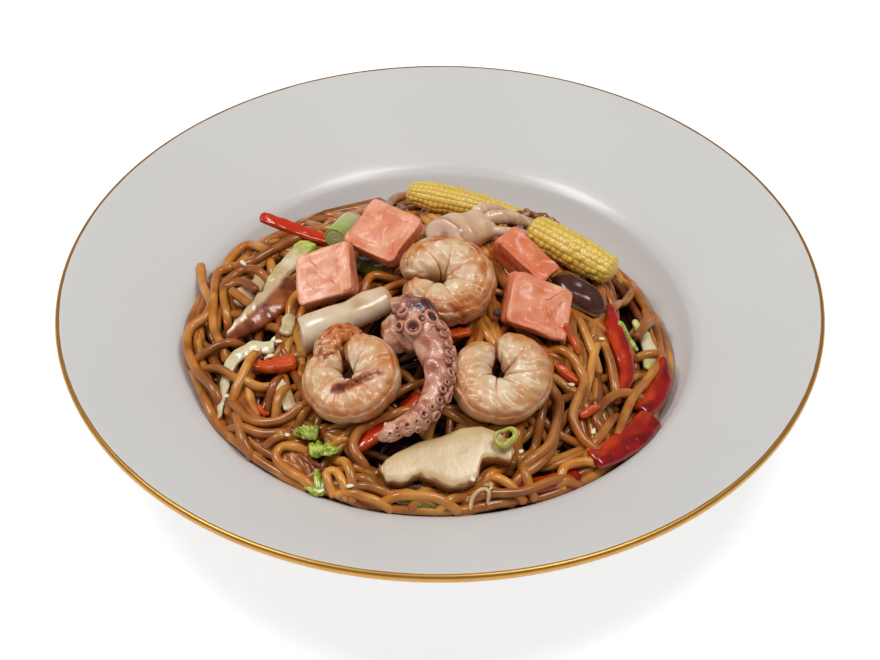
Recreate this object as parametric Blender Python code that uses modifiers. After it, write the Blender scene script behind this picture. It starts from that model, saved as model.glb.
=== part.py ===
"""Seafood yakisoba in its wide-rimmed pasta plate.

Metres, +Z up, X to the right and Y away from the eater. The origin is the centre of the foot's
underside. Sizes below are millimetres and are turned into metres by MM.
"""

import math
import random

import bmesh
import bpy
import numpy as np
from mathutils import Matrix, Vector
from mathutils.bvhtree import BVHTree

MM = 0.001
GAP = 0.3  # clearance between pieces that touch

# Plate
PLATE_RADIUS = 150.0
PLATE_HEIGHT = 54.0
LIP_RADIUS = 102.5  # where the flange turns down into the well
LIP_HEIGHT = 34.6
FLOOR_RADIUS = 62.0
FLOOR_HEIGHT = 8.0
FOOT_RADIUS = 64.0
WALL = 4.0
PLATE_STEPS = 48

# Heap of noodles
HEAP_PEAK = 56.0
HEAP_RADIUS = 95.0
HEAP_SHIFT = 6.0  # the heap reaches this much further to the front left than the mean
HEAP_BEARING = math.radians(45.0)  # direction in which it falls short
HEAP_POWER = 0.95
NOODLE_RADIUS = 1.85
NOODLE_COUNT = 28
NOODLE_SECTORS = 14  # parts of the circle in which the noodles start by turns
NOODLE_STEP = 4.2
NOODLE_POINTS = 15
NOODLE_TRIES = 24  # draws for each noodle, of which the one over the barest part is kept
NOODLE_SPREAD = 6.0  # a noodle's point counts as over a bare part when no other is this near
SESAME_COUNT = 10
STRIP_STEP = 6.5  # between the rings of a cut strip

FLESH = {
    "porcelain": ((0.80, 0.79, 0.77), 0.15),
    "noodle": ((0.42, 0.19, 0.05), 0.35),
    "shrimp": ((0.80, 0.55, 0.33), 0.30),
    "salmon": ((0.86, 0.37, 0.22), 0.30),
    "squid": ((0.78, 0.62, 0.48), 0.30),
    "octopus": ((0.52, 0.24, 0.20), 0.35),
    "mushroom": ((0.70, 0.52, 0.30), 0.40),
    "shiitake": ((0.10, 0.05, 0.04), 0.30),
    "corn": ((0.86, 0.62, 0.15), 0.35),
    "pepper": ((0.55, 0.02, 0.01), 0.20),
    "carrot": ((0.80, 0.16, 0.02), 0.35),
    "cabbage": ((0.66, 0.58, 0.36), 0.35),
    "greens": ((0.40, 0.50, 0.10), 0.35),
}


def well_profile():
    """The plate's upper surface as (radius, height), from the centre to the rim."""
    return [
        (0.0, FLOOR_HEIGHT),
        (FLOOR_RADIUS, FLOOR_HEIGHT),
        (76.0, 10.5),
        (88.0, 17.5),
        (96.0, 26.5),
        (LIP_RADIUS - 2.5, 32.2),
        (LIP_RADIUS + 0.5, LIP_HEIGHT),
        (LIP_RADIUS + 4.5, LIP_HEIGHT + 2.0),
        (PLATE_RADIUS - 2.5, PLATE_HEIGHT - 0.5),
    ]


def well_height(radius):
    """Height of the plate's upper surface at a radius."""
    radii, heights = zip(*well_profile())
    return float(np.interp(radius, radii, heights))


def heap_reach(bearing):
    """Radius at which the heap meets the well's wall, in one direction."""
    return HEAP_RADIUS - HEAP_SHIFT * math.cos(bearing - HEAP_BEARING)


def heap_height(x, y):
    """Height of the bare heap's top at a place: a dome down to where it meets the wall."""
    reach = heap_reach(math.atan2(y, x))
    edge = well_height(reach) + 1.0
    share = min(math.hypot(x, y) / reach, 1.0)
    return edge + (HEAP_PEAK - edge) * (1.0 - share * share) ** HEAP_POWER


def heap_normal(x, y):
    """Unit normal of the bare heap's top."""
    step = 2.0
    slope_x = (heap_height(x + step, y) - heap_height(x - step, y)) / (2 * step)
    slope_y = (heap_height(x, y + step) - heap_height(x, y - step)) / (2 * step)
    return Vector((-slope_x, -slope_y, 1.0)).normalized()


def new_collection(name):
    made = bpy.data.collections.new(name)
    bpy.context.scene.collection.children.link(made)
    return made


def material(kind):
    """A Principled material of a foodstuff's or the plate's colour and roughness."""
    found = bpy.data.materials.get(kind)
    if found:
        return found
    made = bpy.data.materials.new(kind)
    made.use_nodes = True
    shader = made.node_tree.nodes["Principled BSDF"]
    colour, roughness = FLESH[kind]
    shader.inputs["Base Color"].default_value = (*colour, 1.0)
    shader.inputs["Roughness"].default_value = roughness
    shader.inputs["Metallic"].default_value = 0.0
    return made


def add_mesh(name, mesh, kind, collection):
    piece = bpy.data.objects.new(name, mesh)
    collection.objects.link(piece)
    mesh.materials.clear()
    mesh.materials.append(material(kind))
    mesh.shade_smooth()
    mesh.set_sharp_from_angle(angle=math.radians(50))
    return piece


def turned(name, profile, steps, kind, collection):
    """A closed turned solid from a profile that runs from the axis, out and back to it."""
    mesh = bpy.data.meshes.new(name)
    points = [(r * MM, 0.0, z * MM) for r, z in profile]
    mesh.from_pydata(points, [(i, i + 1) for i in range(len(points) - 1)], [])
    piece = add_mesh(name, mesh, kind, collection)
    screw = piece.modifiers.new("turn", "SCREW")
    screw.steps = screw.render_steps = steps
    screw.use_merge_vertices = True
    screw.merge_threshold = 0.00001
    screw.use_smooth_shade = True
    return piece


def closed_mesh(maker):
    """The evaluated mesh of a curve or a modified object, caps welded. Removes the maker."""
    bpy.context.view_layer.update()
    evaluated = maker.evaluated_get(bpy.context.evaluated_depsgraph_get())
    mesh = bpy.data.meshes.new_from_object(evaluated)
    mesh.transform(maker.matrix_world)
    body = bmesh.new()
    body.from_mesh(mesh)
    bmesh.ops.remove_doubles(body, verts=body.verts, dist=0.00002)
    bmesh.ops.recalc_face_normals(body, faces=body.faces)
    body.to_mesh(mesh)
    body.free()
    bpy.data.objects.remove(maker)
    return mesh


def section(width, thickness, name):
    """A flat oval outline, eight-sided, as a curve that a strip is swept with."""
    outline = bpy.data.curves.new(name, "CURVE")
    outline.dimensions = "2D"
    spline = outline.splines.new("POLY")
    corners = [(0.5, 0.25), (0.3, 0.5), (-0.3, 0.5), (-0.5, 0.25)]
    corners += [(-x, -y) for x, y in corners]
    spline.points.add(len(corners) - 1)
    for point, (x, y) in zip(spline.points, corners):
        point.co = (x * width * MM, y * thickness * MM, 0.0, 1.0)
    spline.use_cyclic_u = True
    made = bpy.data.objects.new(name, outline)
    bpy.context.scene.collection.objects.link(made)
    return made


def smooth_route(points, count):
    """Points evenly along the Catmull-Rom curve through a few points of any dimension."""
    points = np.array(points, float)
    ends = np.vstack([2 * points[0] - points[1], points, 2 * points[-1] - points[-2]])
    spans = len(points) - 1
    t = np.linspace(0.0, spans, spans * 12 + 1)
    span = np.minimum(t.astype(int), spans - 1)
    u = (t - span)[:, None]
    a, b, c, d = (ends[span + k] for k in range(4))
    curve = 0.5 * (2 * b + (c - a) * u + (2 * a - 5 * b + 4 * c - d) * u**2
                   + (3 * b - a - 3 * c + d) * u**3)
    length = np.concatenate([[0.0], np.cumsum(np.linalg.norm(np.diff(curve[:, :3], axis=0), axis=1))])
    wanted = np.linspace(0.0, length[-1], count)
    return np.stack([np.interp(wanted, length, curve[:, k]) for k in range(curve.shape[1])], axis=1)


def swept_mesh(name, route, sizes, sides=8, outline=None, upright=True):
    """A closed tube along a route in mm, its size at each point from sizes.

    Without an outline the tube is round and sizes are radii in mm. With one, sizes are its shares.
    """
    line = bpy.data.curves.new(name, "CURVE")
    line.dimensions = "3D"
    line.twist_mode = "Z_UP" if upright else "MINIMUM"
    line.use_fill_caps = True
    if outline:
        line.bevel_mode = "OBJECT"
        line.bevel_object = section(*outline, name + "_outline")
    else:
        line.bevel_depth = MM
        line.bevel_resolution = sides // 2 - 2
    spline = line.splines.new("POLY")
    spline.points.add(len(route) - 1)
    for point, place, size in zip(spline.points, route, sizes):
        point.co = (*(float(c) * MM for c in place[:3]), 1.0)
        point.radius = float(size)
    maker = bpy.data.objects.new(name + "_line", line)
    bpy.context.scene.collection.objects.link(maker)
    mesh = closed_mesh(maker)
    if outline:
        bpy.data.objects.remove(bpy.data.objects[name + "_outline"])
    return mesh


def tube(name, route, radii, kind, collection, count=14, sides=8):
    """A round piece along a smooth route, with its radius given at a few even places."""
    path = smooth_route(route, count)
    sizes = np.interp(np.linspace(0, 1, count), np.linspace(0, 1, len(radii)), radii)
    return add_mesh(name, swept_mesh(name, path, sizes, sides, upright=False), kind, collection)


def strip(name, route, width, thickness, kind, taper, collection):
    """A cut strip of vegetable lying flat along a route of (x, y, lift over the heap)."""
    raised = [(x, y, heap_height(x, y) + lift) for x, y, lift in route]
    length = sum(math.dist(a, b) for a, b in zip(raised, raised[1:]))
    count = max(4, round(length / STRIP_STEP))
    path = smooth_route(raised, count)
    shares = np.interp(np.linspace(0, 1, count), np.linspace(0, 1, len(taper)), taper)
    mesh = swept_mesh(name, path, shares, outline=(width, thickness))
    return add_mesh(name, mesh, kind, collection)


def lay(piece, x, y, lift, turn, tilt=(0.0, 0.0)):
    """Sets a piece on the heap: its own Z along the heap's normal, leaned by tilt, turned in plan."""
    normal = heap_normal(x, y)
    lean = Vector((normal.x + tilt[0], normal.y + tilt[1], normal.z)).normalized()
    turned_flat = Matrix.Rotation(math.radians(turn), 4, "Z")
    upright = Vector((0, 0, 1)).rotation_difference(lean).to_matrix().to_4x4()
    place = Matrix.Translation(Vector((x, y, heap_height(x, y) + lift)) * MM)
    piece.matrix_world = place @ upright @ turned_flat


def world_mesh(piece):
    """A bmesh of the evaluated piece in world space, split into triangles."""
    bpy.context.view_layer.update()
    body = bmesh.new()
    body.from_object(piece, bpy.context.evaluated_depsgraph_get())
    body.transform(piece.matrix_world)
    bmesh.ops.triangulate(body, faces=body.faces)
    return body


def samples(body):
    """Vertices, edge middles and face centres of a bmesh."""
    points = [v.co.copy() for v in body.verts]
    points += [(e.verts[0].co + e.verts[1].co) / 2 for e in body.edges]
    points += [f.calc_center_median() for f in body.faces]
    return points


def settle(piece, below):
    """Lowers or lifts a piece, without turning it, until it rests a gap above what is below it."""
    body = world_mesh(piece)
    tree = BVHTree.FromBMesh(body)
    points = samples(body)
    body.free()
    low = min(p.z for p in points)
    down = Vector((0, 0, -1))
    room = 1.0
    reach = 0.2
    for other_tree, other_points in below:
        for p in points:
            hit = other_tree.ray_cast(Vector((p.x, p.y, p.z + reach)), down)
            if hit[0]:
                room = min(room, p.z - hit[0].z)
        for p in other_points:
            hit = tree.ray_cast(Vector((p.x, p.y, low - reach)), -down)
            if hit[0]:
                room = min(room, hit[0].z - p.z)
    piece.location.z -= room - GAP * MM
    bpy.context.view_layer.update()


def footing(piece):
    """What settle() needs to know about a piece that others rest on."""
    body = world_mesh(piece)
    points = samples(body)
    tree = BVHTree.FromBMesh(body)
    body.free()
    return tree, points


def joined(piece, others_name, others):
    """One Boolean union of a piece with a collection of closed objects, which are then removed."""
    group = new_collection(others_name)
    for other in others:
        group.objects.link(other)
        for held in list(other.users_collection):
            if held != group:
                held.objects.unlink(other)
    union = piece.modifiers.new("union", "BOOLEAN")
    union.operation = "UNION"
    union.operand_type = "COLLECTION"
    union.collection = group
    union.solver = "MANIFOLD"
    bpy.context.view_layer.update()
    mesh = bpy.data.meshes.new_from_object(piece.evaluated_get(bpy.context.evaluated_depsgraph_get()))
    piece.modifiers.clear()
    piece.data = largest_body(mesh)
    for other in list(group.objects):
        bpy.data.objects.remove(other)
    bpy.data.collections.remove(group)
    return piece


def largest_body(mesh):
    """Keeps the outer shell: sealed hollows and loose scraps are dropped."""
    body = bmesh.new()
    body.from_mesh(mesh)
    bmesh.ops.remove_doubles(body, verts=body.verts, dist=0.00002)
    shells = []
    unseen = set(body.faces)
    while unseen:
        stack = [unseen.pop()]
        shell = list(stack)
        while stack:
            for edge in stack.pop().edges:
                for face in edge.link_faces:
                    if face in unseen:
                        unseen.remove(face)
                        stack.append(face)
                        shell.append(face)
        shells.append(shell)
    shells.sort(key=len)
    scraps = [face for shell in shells[:-1] for face in shell]
    bmesh.ops.delete(body, geom=scraps, context="FACES")
    bmesh.ops.delete(body, geom=[v for v in body.verts if not v.link_faces], context="VERTS")
    body.to_mesh(mesh)
    body.free()
    return mesh


def plate(collection):
    """The plate: one turned piece of porcelain with a foot ring."""
    underside = [
        (PLATE_RADIUS - 1.2, PLATE_HEIGHT),
        (PLATE_RADIUS, PLATE_HEIGHT - 1.2),
        (PLATE_RADIUS - 0.3, PLATE_HEIGHT - 3.4),
        (PLATE_RADIUS - 4.0, PLATE_HEIGHT - 6.2),
        (LIP_RADIUS + 6.0, LIP_HEIGHT - 2.5),
        (LIP_RADIUS + 1.5, LIP_HEIGHT - 7.0),
        (92.0, 13.5),
        (80.0, 5.5),
        (FOOT_RADIUS + 2.0, WALL - 1.0),
        (FOOT_RADIUS, 0.0),
        (FOOT_RADIUS - 5.0, 0.0),
        (FOOT_RADIUS - 6.5, WALL - 1.6),
        (0.0, WALL - 1.6),
    ]
    return turned("plate", well_profile() + underside, PLATE_STEPS, "porcelain", collection)


def bare_heap(collection):
    """The heap's core: a sphere whose upper half is the dome and whose lower half fills the well."""
    bpy.ops.mesh.primitive_uv_sphere_add(segments=32, ring_count=14, radius=1.0)
    maker = bpy.context.object
    for vertex in maker.data.vertices:
        x, y, z = vertex.co
        bearing = math.atan2(y, x)
        share = min(math.hypot(x, y), 1.0)
        radius = share * heap_reach(bearing)
        if z > -0.001:
            height = heap_height(radius * math.cos(bearing), radius * math.sin(bearing))
        else:
            height = well_height(radius) + 2 * GAP
        place = Vector((radius * math.cos(bearing), radius * math.sin(bearing), height))
        vertex.co = place * MM
    mesh = maker.data.copy()
    bpy.data.objects.remove(maker)
    return add_mesh("noodles", mesh, "noodle", collection)


def wandering_route(draw, start_radius, bearing):
    """A noodle's way over the heap: a curve whose bend drifts, with slow rises and dips."""
    x = start_radius * math.cos(bearing)
    y = start_radius * math.sin(bearing)
    heading = bearing + math.pi / 2 + draw.uniform(-0.9, 0.9)
    bend = draw.uniform(-0.12, 0.12)
    wave = draw.uniform(0, 2 * math.pi)
    route = []
    for step in range(NOODLE_POINTS):
        lift = NOODLE_RADIUS * (0.55 + 0.45 * math.sin(wave + step * 0.5))
        route.append((x, y, heap_height(x, y) + lift))
        bend = 0.85 * bend + draw.uniform(-0.07, 0.07)
        heading += bend
        x += NOODLE_STEP * math.cos(heading)
        y += NOODLE_STEP * math.sin(heading)
        if math.hypot(x, y) > heap_reach(math.atan2(y, x)) - 4.0:
            heading += 0.5 if math.sin(math.atan2(y, x) - heading) < 0 else -0.5
    return route


def clear_run(route, trees):
    """The longest stretch of a route that keeps off the plate and the toppings."""
    margin = (NOODLE_RADIUS + 2 * GAP) * MM
    best, run = [], []
    for place in route:
        inside = math.hypot(place[0], place[1]) < heap_reach(math.atan2(place[1], place[0])) - 1.0
        point = Vector(place) * MM
        if inside and all(tree.find_nearest(point, margin)[0] is None for tree in trees):
            run = run + [place]
            best = run if len(run) > len(best) else best
        else:
            run = []
    return best


def noodle_strands(trees):
    """Noodles at true size that lie half sunk in the heap, each where the heap is still barest.

    They start all round it by turns, twice as close together at the front as at the back.
    """
    draw = random.Random(11)
    taken = [(0.0, 0.0, 0.0)]
    strands = []
    for number in range(NOODLE_COUNT):
        best, most = [], 0
        for _ in range(NOODLE_TRIES):
            turn = 2 * (number + draw.random()) / NOODLE_SECTORS % 2 - 1
            bearing = math.pi * (turn * (0.5 + 0.5 * abs(turn)) - 0.5)
            radius = heap_reach(bearing) * draw.uniform(0.55, 0.97)
            run = clear_run(wandering_route(draw, radius, bearing), trees)
            fresh = sum(min(math.dist(place, other) for other in taken) > NOODLE_SPREAD for place in run)
            if fresh > most:
                best, most = run, fresh
        if len(best) < 4:
            continue
        taken.extend(best)
        sizes = [NOODLE_RADIUS * 0.75] + [NOODLE_RADIUS] * (len(best) - 2) + [NOODLE_RADIUS * 0.75]
        name = f"strand_{number}"
        strands.append(bpy.data.objects.new(name, swept_mesh(name, best, sizes, sides=6, upright=False)))
    return strands


def sesame_seeds(trees):
    """Seeds that stick to the noodles on the left, as small flat balls."""
    draw = random.Random(5)
    seeds = []
    while len(seeds) < SESAME_COUNT:
        x = draw.uniform(-88, -50)
        y = draw.uniform(-55, 25)
        centre = Vector((x, y, heap_height(x, y) + 0.5)) * MM
        if any(tree.find_nearest(centre, 2.5 * MM)[0] is not None for tree in trees):
            continue
        bpy.ops.mesh.primitive_ico_sphere_add(subdivisions=1, radius=1.0)
        seed = bpy.context.object
        turn = Matrix.Rotation(draw.uniform(0, math.pi), 4, "Z")
        shape = Matrix.Diagonal((1.7 * MM, 1.0 * MM, 0.9 * MM, 1))
        seed.data.transform(Matrix.Translation(centre) @ turn @ shape)
        seeds.append(seed)
    return seeds


def shrimp(name, x, y, turn, curl, girth, tilt, collection):
    """A peeled shrimp curled on its side: a tapering tube round most of a circle, gap towards turn."""
    half_gap = math.radians(25)
    count = 16
    route = []
    for step in range(count):
        share = step / (count - 1)
        bearing = math.radians(turn) - half_gap - share * (2 * math.pi - 2 * half_gap)
        radius = curl * (1.0 - 0.06 * share)
        route.append((radius * math.cos(bearing), radius * math.sin(bearing), 0.8 * math.sin(share * 6)))
    girths = np.interp(np.linspace(0, 1, count), [0, 0.06, 0.2, 0.55, 0.8, 0.94, 1],
                       [0.45, 0.75, 1.0, 1.0, 0.78, 0.55, 0.35])
    ripple = 1.0 + 0.035 * np.cos(np.arange(count) * math.pi)
    mesh = swept_mesh(name, route, girths * ripple * girth, sides=10, upright=False)
    piece = add_mesh(name, mesh, "shrimp", collection)
    lay(piece, x, y, girth, 0, tilt)
    return piece


def salmon(name, x, y, turn, size, tilt, seed, collection):
    """A chunk of salmon: a block with rounded edges whose faces bulge and dip a little."""
    draw = random.Random(seed)
    bpy.ops.mesh.primitive_cube_add(size=1.0)
    maker = bpy.context.object
    maker.data.transform(Matrix.Diagonal((*(s * MM for s in size), 1)))
    skew = Matrix.Shear("XY", 4, (draw.uniform(-0.15, 0.15), draw.uniform(-0.1, 0.1)))
    maker.data.transform(skew)
    body = bmesh.new()
    body.from_mesh(maker.data)
    bmesh.ops.subdivide_edges(body, edges=body.edges, cuts=2, use_grid_fill=True)
    for vertex in body.verts:
        vertex.co += Vector([draw.uniform(-0.5, 0.5) for _ in range(3)]) * MM
    body.to_mesh(maker.data)
    body.free()
    bevel = maker.modifiers.new("round", "BEVEL")
    bevel.width = 1.4 * MM
    bevel.segments = 1
    bevel.limit_method = "ANGLE"
    bevel.angle_limit = math.radians(55)
    piece = add_mesh(name, closed_mesh(maker), "salmon", collection)
    lay(piece, x, y, size[2] / 2, turn, tilt)
    return piece


def corn(name, base, tip, radii, collection):
    """A young cob: a tapering tube whose rings stand for the rows of kernels."""
    count = 17
    path = smooth_route([base, tip], count)
    sizes = np.interp(np.linspace(0, 1, count), np.linspace(0, 1, len(radii)), radii)
    sizes[1:-1] *= 1.0 + 0.035 * np.cos(np.arange(1, count - 1) * math.pi)
    return add_mesh(name, swept_mesh(name, path, sizes, 10, upright=False), "corn", collection)


def mushroom_slice(name, x, y, turn, collection):
    """A slice through cap and stalk: a flat outline with softened edges."""
    outline = [(-24, -6), (-17, 1), (-1, 8), (7, 12), (14, 13), (21, 10), (27, 3), (26, -2),
               (18, 0), (10, -1), (14, -6), (8, -11), (2, -13), (-4, -10), (-9, -8), (-15, -12), (-21, -11)]
    line = bpy.data.curves.new(name, "CURVE")
    line.dimensions = "2D"
    line.fill_mode = "BOTH"
    line.extrude = 2.4 * MM
    line.bevel_depth = 1.0 * MM
    line.bevel_resolution = 0
    line.resolution_u = 2
    spline = line.splines.new("BEZIER")
    spline.bezier_points.add(len(outline) - 1)
    for point, (px, py) in zip(spline.bezier_points, outline):
        point.co = (px * MM, py * MM, 0)
        point.handle_left_type = point.handle_right_type = "AUTO"
    spline.use_cyclic_u = True
    maker = bpy.data.objects.new(name + "_outline", line)
    bpy.context.scene.collection.objects.link(maker)
    piece = add_mesh(name, closed_mesh(maker), "mushroom", collection)
    lay(piece, x, y, 4.0, turn)
    return piece


def cap_half(name, x, y, turn, size, tilt, collection):
    """A piece of a dark mushroom cap: a flattened ball."""
    bpy.ops.mesh.primitive_uv_sphere_add(segments=12, ring_count=8, radius=1.0)
    maker = bpy.context.object
    maker.data.transform(Matrix.Diagonal((*(s / 2 * MM for s in size), 1)))
    mesh = maker.data.copy()
    bpy.data.objects.remove(maker)
    piece = add_mesh(name, mesh, "shiitake", collection)
    lay(piece, x, y, size[2] / 2, turn, tilt)
    return piece


TENTACLE = [(-17, -31, 11), (-11, -30, 13), (-5, -39, 11), (-1, -50, 9), (-1, -61, 7), (-8, -72, 6),
            (-23, -79, 5)]
TENTACLE_RADII = [4.5, 7.0, 6.0, 5.2, 5.0, 4.2, 1.6]


def tentacle(collection):
    """An octopus arm that lies between the shrimps, with a row of suckers on its right side."""
    route = [(x, y, heap_height(x, y) + lift) for x, y, lift in TENTACLE]
    piece = tube("octopus_arm", route, TENTACLE_RADII, "octopus", collection, count=15, sides=8)
    path = smooth_route(route, 12)
    radii = np.interp(np.linspace(0, 1, 12), np.linspace(0, 1, 7), TENTACLE_RADII)
    suckers = []
    for step in range(1, 10):
        along = Vector(path[step + 1] - path[step - 1]).normalized()
        side = along.cross(Vector((0, 0, 1))).normalized()
        out = (Vector((0, 0, 0.55)) - side * 0.85).normalized()
        size = 2.6 * radii[step] / 6.0
        bpy.ops.mesh.primitive_cone_add(vertices=6, radius1=size * 0.7, radius2=size, depth=3.2)
        sucker = bpy.context.object
        turn = Vector((0, 0, 1)).rotation_difference(out).to_matrix().to_4x4()
        centre = Vector(path[step]) + out * radii[step]
        sucker.data.transform(Matrix.Scale(MM, 4) @ Matrix.Translation(centre) @ turn)
        suckers.append(sucker)
    return joined(piece, "suckers", suckers)


def squid_head(collection):
    """A squid's head: a stout cut tube from which the arms run out to the right."""
    route = [(x, y, heap_height(x, y) + 8) for x, y in [(3, 31), (12, 34), (21, 36)]]
    piece = tube("squid_head", route, [6.2, 6.8, 6.2, 3.5], "squid", collection, count=8, sides=10)
    arms = []
    for number, (drift, rise) in enumerate([(-3.5, -1.5), (0.0, 1.5), (4.0, -0.5)]):
        way = [(19, 35 + drift * 0.4, heap_height(19, 35) + 8 + rise * 0.5),
               (27, 37 + drift, heap_height(27, 37) + 10 + rise),
               (36, 38 + drift * 1.2, heap_height(36, 38) + 13 + rise)]
        name = f"arm_{number}"
        mesh = swept_mesh(name, smooth_route(way, 5), [2.4, 2.4, 2.2, 1.9, 1.1], 6, upright=False)
        arms.append(bpy.data.objects.new(name, mesh))
    return joined(piece, "arms", arms)


def vegetables(collection):
    """Cut vegetables that lie straight on the noodles."""
    cut = (0.85, 1.0, 1.0, 0.85)
    pointed = (0.3, 0.85, 1.0, 0.7)
    strips = {
        "pepper_back_left": ([(-41, 36, 3), (-50, 40, 6), (-61, 45, 12), (-73, 50, 20)],
                             5.0, 3.0, "pepper", cut),
        "pepper_right_tall": ([(67, 7, 4), (68, -7, 5), (71, -19, 5), (72, -31, 4), (67, -44, 3)],
                              8.0, 3.6, "pepper", pointed),
        "pepper_right_edge": ([(88, -16, 10), (86, -27, 6), (82, -36, 4), (76, -44, 3)],
                              9.5, 3.4, "pepper", pointed),
        "pepper_right_low": ([(81, -49, 3), (75, -59, 3), (66, -68, 3), (57, -75, 3)],
                             10.0, 3.4, "pepper", cut),
        "pepper_front": ([(52, -79, 2), (44, -83, 2), (34, -87, 2), (26, -89, 2)], 7.0, 3.2, "pepper", cut),
        "pepper_middle": ([(-34, -77, 3), (-26, -72, 3), (-16, -64, 3), (-8, -55, 3)],
                          7.0, 3.2, "pepper", cut),
        "carrot_left": ([(-72, -33, 3), (-63, -35, 3), (-55, -35, 3)], 6.0, 4.0, "carrot", cut),
        "carrot_right": ([(44, -35, 2), (50, -38, 2), (56, -41, 2)], 4.0, 3.0, "carrot", pointed),
        "carrot_middle": ([(-2, -29, 2), (5, -27, 2), (12, -25, 2)], 4.0, 3.0, "carrot", cut),
        "cabbage_bent": ([(-64, -25, 3), (-72, -23, 3), (-79, -26, 3), (-82, -34, 3), (-84, -54, 3)],
                         5.0, 2.2, "cabbage", cut),
        "cabbage_short": ([(-58, -9, 2), (-59, -15, 2), (-60, -20, 2)], 5.0, 2.4, "cabbage", cut),
        "onion_slice": ([(-61, -41, 2), (-59, -49, 2), (-56, -57, 2)], 6.0, 2.6, "cabbage", pointed),
        "cabbage_right": ([(77, 5, 2), (81, -3, 2), (83, -11, 2), (81, -21, 2)], 6.0, 2.2, "cabbage", cut),
        "cabbage_stem": ([(-69, 7, 3), (-64, 17, 4), (-58, 28, 4), (-53, 38, 4)], 6.0, 3.6, "cabbage", cut),
        "green_pepper": ([(-33, 19, 2), (-27, 12, 2), (-20, 7, 2)], 8.0, 3.6, "greens", cut),
        "mushroom_left": ([(-80, 3, 3), (-76, 12, 3), (-71, 20, 3)], 8.0, 3.6, "mushroom", cut),
        "shiitake_left": ([(-82, -16, 3), (-73, -9, 4), (-65, 0, 4), (-59, 12, 4)],
                          9.0, 6.0, "shiitake", pointed),
        "leek_front": ([(-16, -95, 2), (-5, -97, 2), (6, -97, 2)], 6.0, 2.6, "greens", cut),
        "leaf_front": ([(-52, -86, 2), (-46, -84, 3), (-40, -84, 2)], 6.0, 1.4, "greens", pointed),
        "crisp_back": ([(46, 57, 5), (53, 55, 5), (60, 50, 5), (64, 44, 4)], 5.0, 2.4, "mushroom", cut),
    }
    pieces = [strip(name, *shape, collection) for name, shape in strips.items()]
    chunks = {
        "scallion_front": (-50, -67, [2.0, 3.4, 2.0], 9),
        "scallion_low": (-43, -75, [2.4, 3.6, 3.0, 2.0], 11),
    }
    for name, (x, y, radii, length) in chunks.items():
        way = [(x - length / 2, y, heap_height(x - length / 2, y) + 3),
               (x + length / 2, y - 2, heap_height(x + length / 2, y - 2) + 3)]
        pieces.append(tube(name, way, radii, "greens", collection, count=5, sides=8))
    pieces.append(corn("corn_left", (-14, 72, 46), (41, 57, 43), [5.0, 6.6, 6.2, 4.8, 3.0, 1.4], collection))
    pieces.append(corn("corn_right", (36, 42, 51), (70, 21, 43), [5.6, 7.4, 7.4, 6.8, 4.4], collection))
    pieces.append(mushroom_slice("mushroom_front", 1, -81, 0, collection))
    pieces.append(cap_half("shiitake_right", 55, 5, -35, (25, 15, 9), (0, 0), collection))
    return pieces


def proteins(collection):
    """Salmon and shrimps, on top of the noodles and vegetables."""
    return [
        salmon("salmon_back_left", -22, 21, -36, (22, 23, 13), (0.0, -0.22), 1, collection),
        salmon("salmon_left", -44, 1, 15, (21, 20, 14), (-0.05, -0.28), 2, collection),
        salmon("salmon_back_right", 33, 16, -41, (26, 13, 14), (0.05, -0.1), 3, collection),
        salmon("salmon_right", 37, -14, -17, (24, 22, 12), (0.05, -0.2), 4, collection),
        shrimp("shrimp_top", 4, -6, 172, 11.6, 8.6, (0.0, -0.15), collection),
        shrimp("shrimp_left", -34, -52, 98, 11.6, 7.8, (0.0, -0.15), collection),
        shrimp("shrimp_right", 22, -51, 103, 12.4, 8.2, (0.0, -0.15), collection),
    ]


def upper_pieces(collection):
    """What lies over the salmon and shrimps, from the lowest up."""
    stalk = [(x, y, heap_height(x, y) + 5) for x, y in [(-42, 31), (-36, 46)]]
    ring = [(21, -77, 53), (26, -77, 52)]
    roll = [(-53, -28, 61), (-36, -22, 66), (-19, -14, 69)]
    return [
        tube("scallion_back", stalk, [4.3, 4.3, 4.0], "greens", collection, count=5, sides=10),
        tube("scallion_ring", ring, [2.2, 3.4, 2.2], "greens", collection, count=4, sides=8),
        tube("squid_roll", roll, [5.6, 6.6, 6.4, 6.2, 5.4], "squid", collection, count=9, sides=12),
        squid_head(collection),
        tentacle(collection),
    ]


def build():
    for old in list(bpy.data.objects):
        bpy.data.objects.remove(old)
    parts = new_collection("yakisoba")
    dish = plate(parts)
    core = bare_heap(parts)
    below = [footing(dish), footing(core)]
    trees = [below[0][0]]
    for pieces in (vegetables, proteins, upper_pieces):
        for piece in pieces(parts):
            settle(piece, below)
            below.append(footing(piece))
            trees.append(below[-1][0])
    strands = noodle_strands(trees) + sesame_seeds(trees)
    joined(core, "strands", strands)


build()
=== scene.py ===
"""Seafood yakisoba on its wide-rimmed plate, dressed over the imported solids.

Lengths in the sections below are millimetres unless a name says otherwise. X is to the right, Y away
from the eater and Z up from the table, with the origin at the middle of the plate's foot.
"""

import math
import random

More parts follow.
